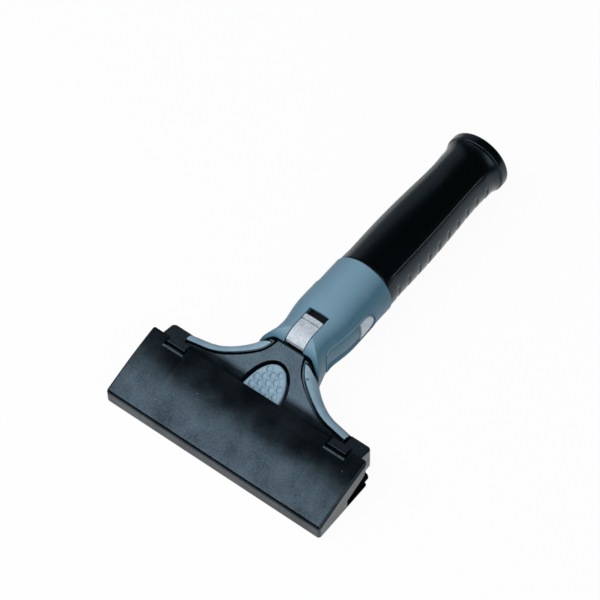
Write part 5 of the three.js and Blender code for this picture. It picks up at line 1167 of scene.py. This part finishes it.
slot_side = [(SLOT_FRONT, CAP_FLOOR), (FAR, CAP_FLOOR), (FAR, SLOT_TOP), (CAP_REAR, SLOT_TOP),
             (SLOT_BEND_Y, SLOT_BEND_Z), (SLOT_FRONT, SLOT_FRONT_TOP)]
rib_foot = NOTCH_FRONT - RIB_WIDTH
rib_side = [(rib_foot, cap_top(rib_foot) - RIB_ROOT), (NOTCH_FRONT, cap_top(NOTCH_FRONT) - RIB_ROOT),
            (NOTCH_FRONT, cap_top(NOTCH_FRONT) + RIB_RISE), (rib_foot, cap_top(rib_foot) - RIB_SINK)]
for side in (1, -1):
    carve(shell, prism("slot", slot_side, *side_span(side, CAP_INNER_HALF - FIT_GAP, FAR), "x"))
    left, right = side * CLIP_X - NOTCH_HALF, side * CLIP_X + NOTCH_HALF
    carve(shell, prism("rib", rib_side, left, right, "x"), "UNION")
    carve(shell, block("notch", (left, NOTCH_FRONT, NOTCH_BOTTOM), (right, FAR, FAR)))
smooth(shell, angle=14)

# Black polypropylene, moulded satin and handled: cloudy and gently wavy where the skin shrank, with a faint
# sink line near each end and rubs along the blade. The grit is drawn coarser so that it shows.
PP_CLOUD, PP_SWELL, PP_GRAIN, PP_GRIT, PP_DUST = 12, 14, 0.7, 0.45, 5
RUB_LENGTH, RUB_WIDTH = 9, 2.2
SINK_X, SINK_HALF_WIDTH = 36.4, 1.4
black_pp, tree, shader = new_material("polypropylene_black_satin_handled",
                                      {"IOR": 1.49, "Specular Tint": COOL_SHEEN})
spot = add(tree, "TexCoord").outputs["Object"]
cloud = add(tree, "TexNoise", {"Vector": spot, "Scale": 1 / (PP_CLOUD * MM), "Detail": 5})
swell = add(tree, "TexNoise", {"Vector": spot, "Scale": 1 / (PP_SWELL * MM), "Detail": 0.5})
grain = add(tree, "TexNoise", {"Vector": spot, "Scale": 1 / (PP_GRAIN * MM), "Detail": 2})
grit = add(tree, "TexNoise", {"Vector": spot, "Scale": 1 / (PP_GRIT * MM), "Detail": 2})
rub_sizes = (RUB_LENGTH, RUB_WIDTH, RUB_LENGTH)
rubs = add(tree, "Mapping", {"Vector": spot, "Scale": [1 / (size * MM) for size in rub_sizes]})
scuff = add(tree, "TexNoise", {"Vector": rubs, "Scale": 1, "Detail": 5})
tone = add(tree, "Mix", {"Factor": scuff, "A": linear("#030506"), "B": linear("#080b0d")}, data_type="RGBA")
dusty = dusted(tree, spot, tone, spacing=PP_DUST, share=0.4, colour="#556066")
rough = add(tree, "MapRange", {"Value": cloud, "From Min": 0.3, "From Max": 0.7,
                               "To Min": 0.17, "To Max": 0.23})
mottle = add(tree, "Math", {0: grain, 1: 0.7, 2: cloud}, operation="MULTIPLY_ADD")
gloss = add(tree, "MapRange", {"Value": mottle, "From Min": 0.6, "From Max": 1.1,
                               "To Min": 0.26, "To Max": 0.7})
aside = add(tree, "Math", {0: add(tree, "SeparateXYZ", {"Vector": spot}).outputs["X"]}, operation="ABSOLUTE")
aside = add(tree, "Math", {0: aside, 1: SINK_X * MM}, operation="SUBTRACT")
aside = add(tree, "Math", {0: aside}, operation="ABSOLUTE")
sink = add(tree, "MapRange", {"Value": aside, "From Max": SINK_HALF_WIDTH * MM},
           interpolation_type="SMOOTHSTEP")
waves = add(tree, "Bump", {"Height": swell, "Strength": 1, "Distance": 0.16 * MM})
dents = add(tree, "Bump", {"Height": sink, "Strength": 1, "Distance": 0.06 * MM, "Normal": waves})
bump = add(tree, "Bump", {"Height": grit, "Strength": 0.12, "Distance": 0.04 * MM, "Normal": dents})
wire(shader, {"Base Color": dusty, "Roughness": rough, "Specular IOR Level": gloss, "Normal": bump})
wear(shell, black_pp, "cap", "black_plastic", "blade_cap")

# Floor: a plain white sweep of paper. To the eye and in glossy reflections it glows an even white, and its
# matt half keeps the soft shadow under the tool.
FLOOR_REACH, FLOOR_DROP = 30, 0.0002
FLOOR_GLOW = 0.95
floor_mesh = bpy.data.meshes.new("floor")
corners = [(u * FLOOR_REACH, v * FLOOR_REACH, -FLOOR_DROP) for u, v in ((-1, -1), (1, -1), (1, 1), (-1, 1))]
floor_mesh.from_pydata(corners, [], [(0, 1, 2, 3)])
floor = bpy.data.objects.new("floor", floor_mesh)
bpy.context.scene.collection.objects.link(floor)
paper, tree, shader = new_material("paper_white_sweep", {"Base Color": linear("#fafbfb"), "Roughness": 0.9})
rays = add(tree, "LightPath")
seen = rays.outputs["Is Camera Ray"]
for ray in ("Is Glossy Ray", "Is Transmission Ray"):
    seen = add(tree, "Math", {0: seen, 1: rays.outputs[ray]}, operation="MAXIMUM")
glow = add(tree, "Emission", {"Color": linear("#ffffff"), "Strength": 1})
share = add(tree, "Math", {0: seen, 1: FLOOR_GLOW}, operation="MULTIPLY")
blend = add(tree, "MixShader", {0: share, 1: shader, 2: glow})
wire(tree.nodes["Material Output"], {"Surface": blend})
floor_mesh.materials.append(paper)

# Studio: a dark room with a softbox up to the left, a broad fill from the right and a faint rim from behind,
# so that flat black faces catch light or stay black by their slope as in the photo.
world = bpy.data.worlds.new("dark_studio")
world.use_nodes = True
wire(world.node_tree.nodes["Background"], {"Color": linear("#c8d4dc"), "Strength": 0.03})
bpy.context.scene.world = world


def softbox(name, direction, distance, width, depth, level, colour):
    """An area lamp of even brightness that looks at the tool, its long edges across the tool, in metres."""
    lamp = bpy.data.lights.new(name, "AREA")
    lamp.shape = "RECTANGLE"
    lamp.size, lamp.size_y = width, depth
    lamp.energy = level * math.pi * width * depth
    lamp.color = linear(colour)[:3]
    box = bpy.data.objects.new(name, lamp)
    way = Vector(direction).normalized()
    across = (Vector((1, 0, 0)) - way * way.x).normalized()
    box.location = way * distance
    box.rotation_euler = Matrix((across, way.cross(across), way)).transposed().to_euler()
    bpy.context.scene.collection.objects.link(box)


softbox("key_softbox", direction=(-0.40, -0.45, 0.80), distance=1.26, width=1.6, depth=0.7, level=4.0,
        colour="#f6faff")
softbox("fill_softbox", direction=(0.70, -0.36, 0.62), distance=1.7, width=1.6, depth=1.6, level=1.6,
        colour="#f8fbff")
softbox("rim_softbox", direction=(-0.64, 0.58, 0.42), distance=1.3, width=1.3, depth=0.6, level=0.4,
        colour="#e9f4ff")

# Camera: a long lens from the front right, looking down steeply, as the photo was taken. It stands around
# one point of the tool and aims a little beside it, which puts the tool where the photo has it.
CAMERA_TURN, CAMERA_RISE = math.radians(37.07), math.radians(54.34)
CAMERA_DISTANCE = 1.101
CAMERA_TARGET = Vector((0, -0.005, 0.010))
CAMERA_LENS, CAMERA_SENSOR = 156, 36
AIM_RIGHT, AIM_UP = -0.01828, 0.00544
lens = bpy.data.cameras.new("camera")
lens.lens = CAMERA_LENS
lens.sensor_width = CAMERA_SENSOR
camera = bpy.data.objects.new("camera", lens)
level = math.cos(CAMERA_RISE)
back = Vector((math.sin(CAMERA_TURN) * level, -math.cos(CAMERA_TURN) * level, math.sin(CAMERA_RISE)))
right = Vector((math.cos(CAMERA_TURN), math.sin(CAMERA_TURN), 0))
up = back.cross(right)
camera.location = CAMERA_TARGET + back * CAMERA_DISTANCE
sight = (CAMERA_TARGET + right * AIM_RIGHT + up * AIM_UP - camera.location).normalized()
right = sight.cross(up).normalized()
camera.rotation_euler = Matrix((right, right.cross(sight), -sight)).transposed().to_euler()
bpy.context.scene.collection.objects.link(camera)
bpy.context.scene.camera = camera
bpy.context.scene.view_settings.view_transform = "Standard"
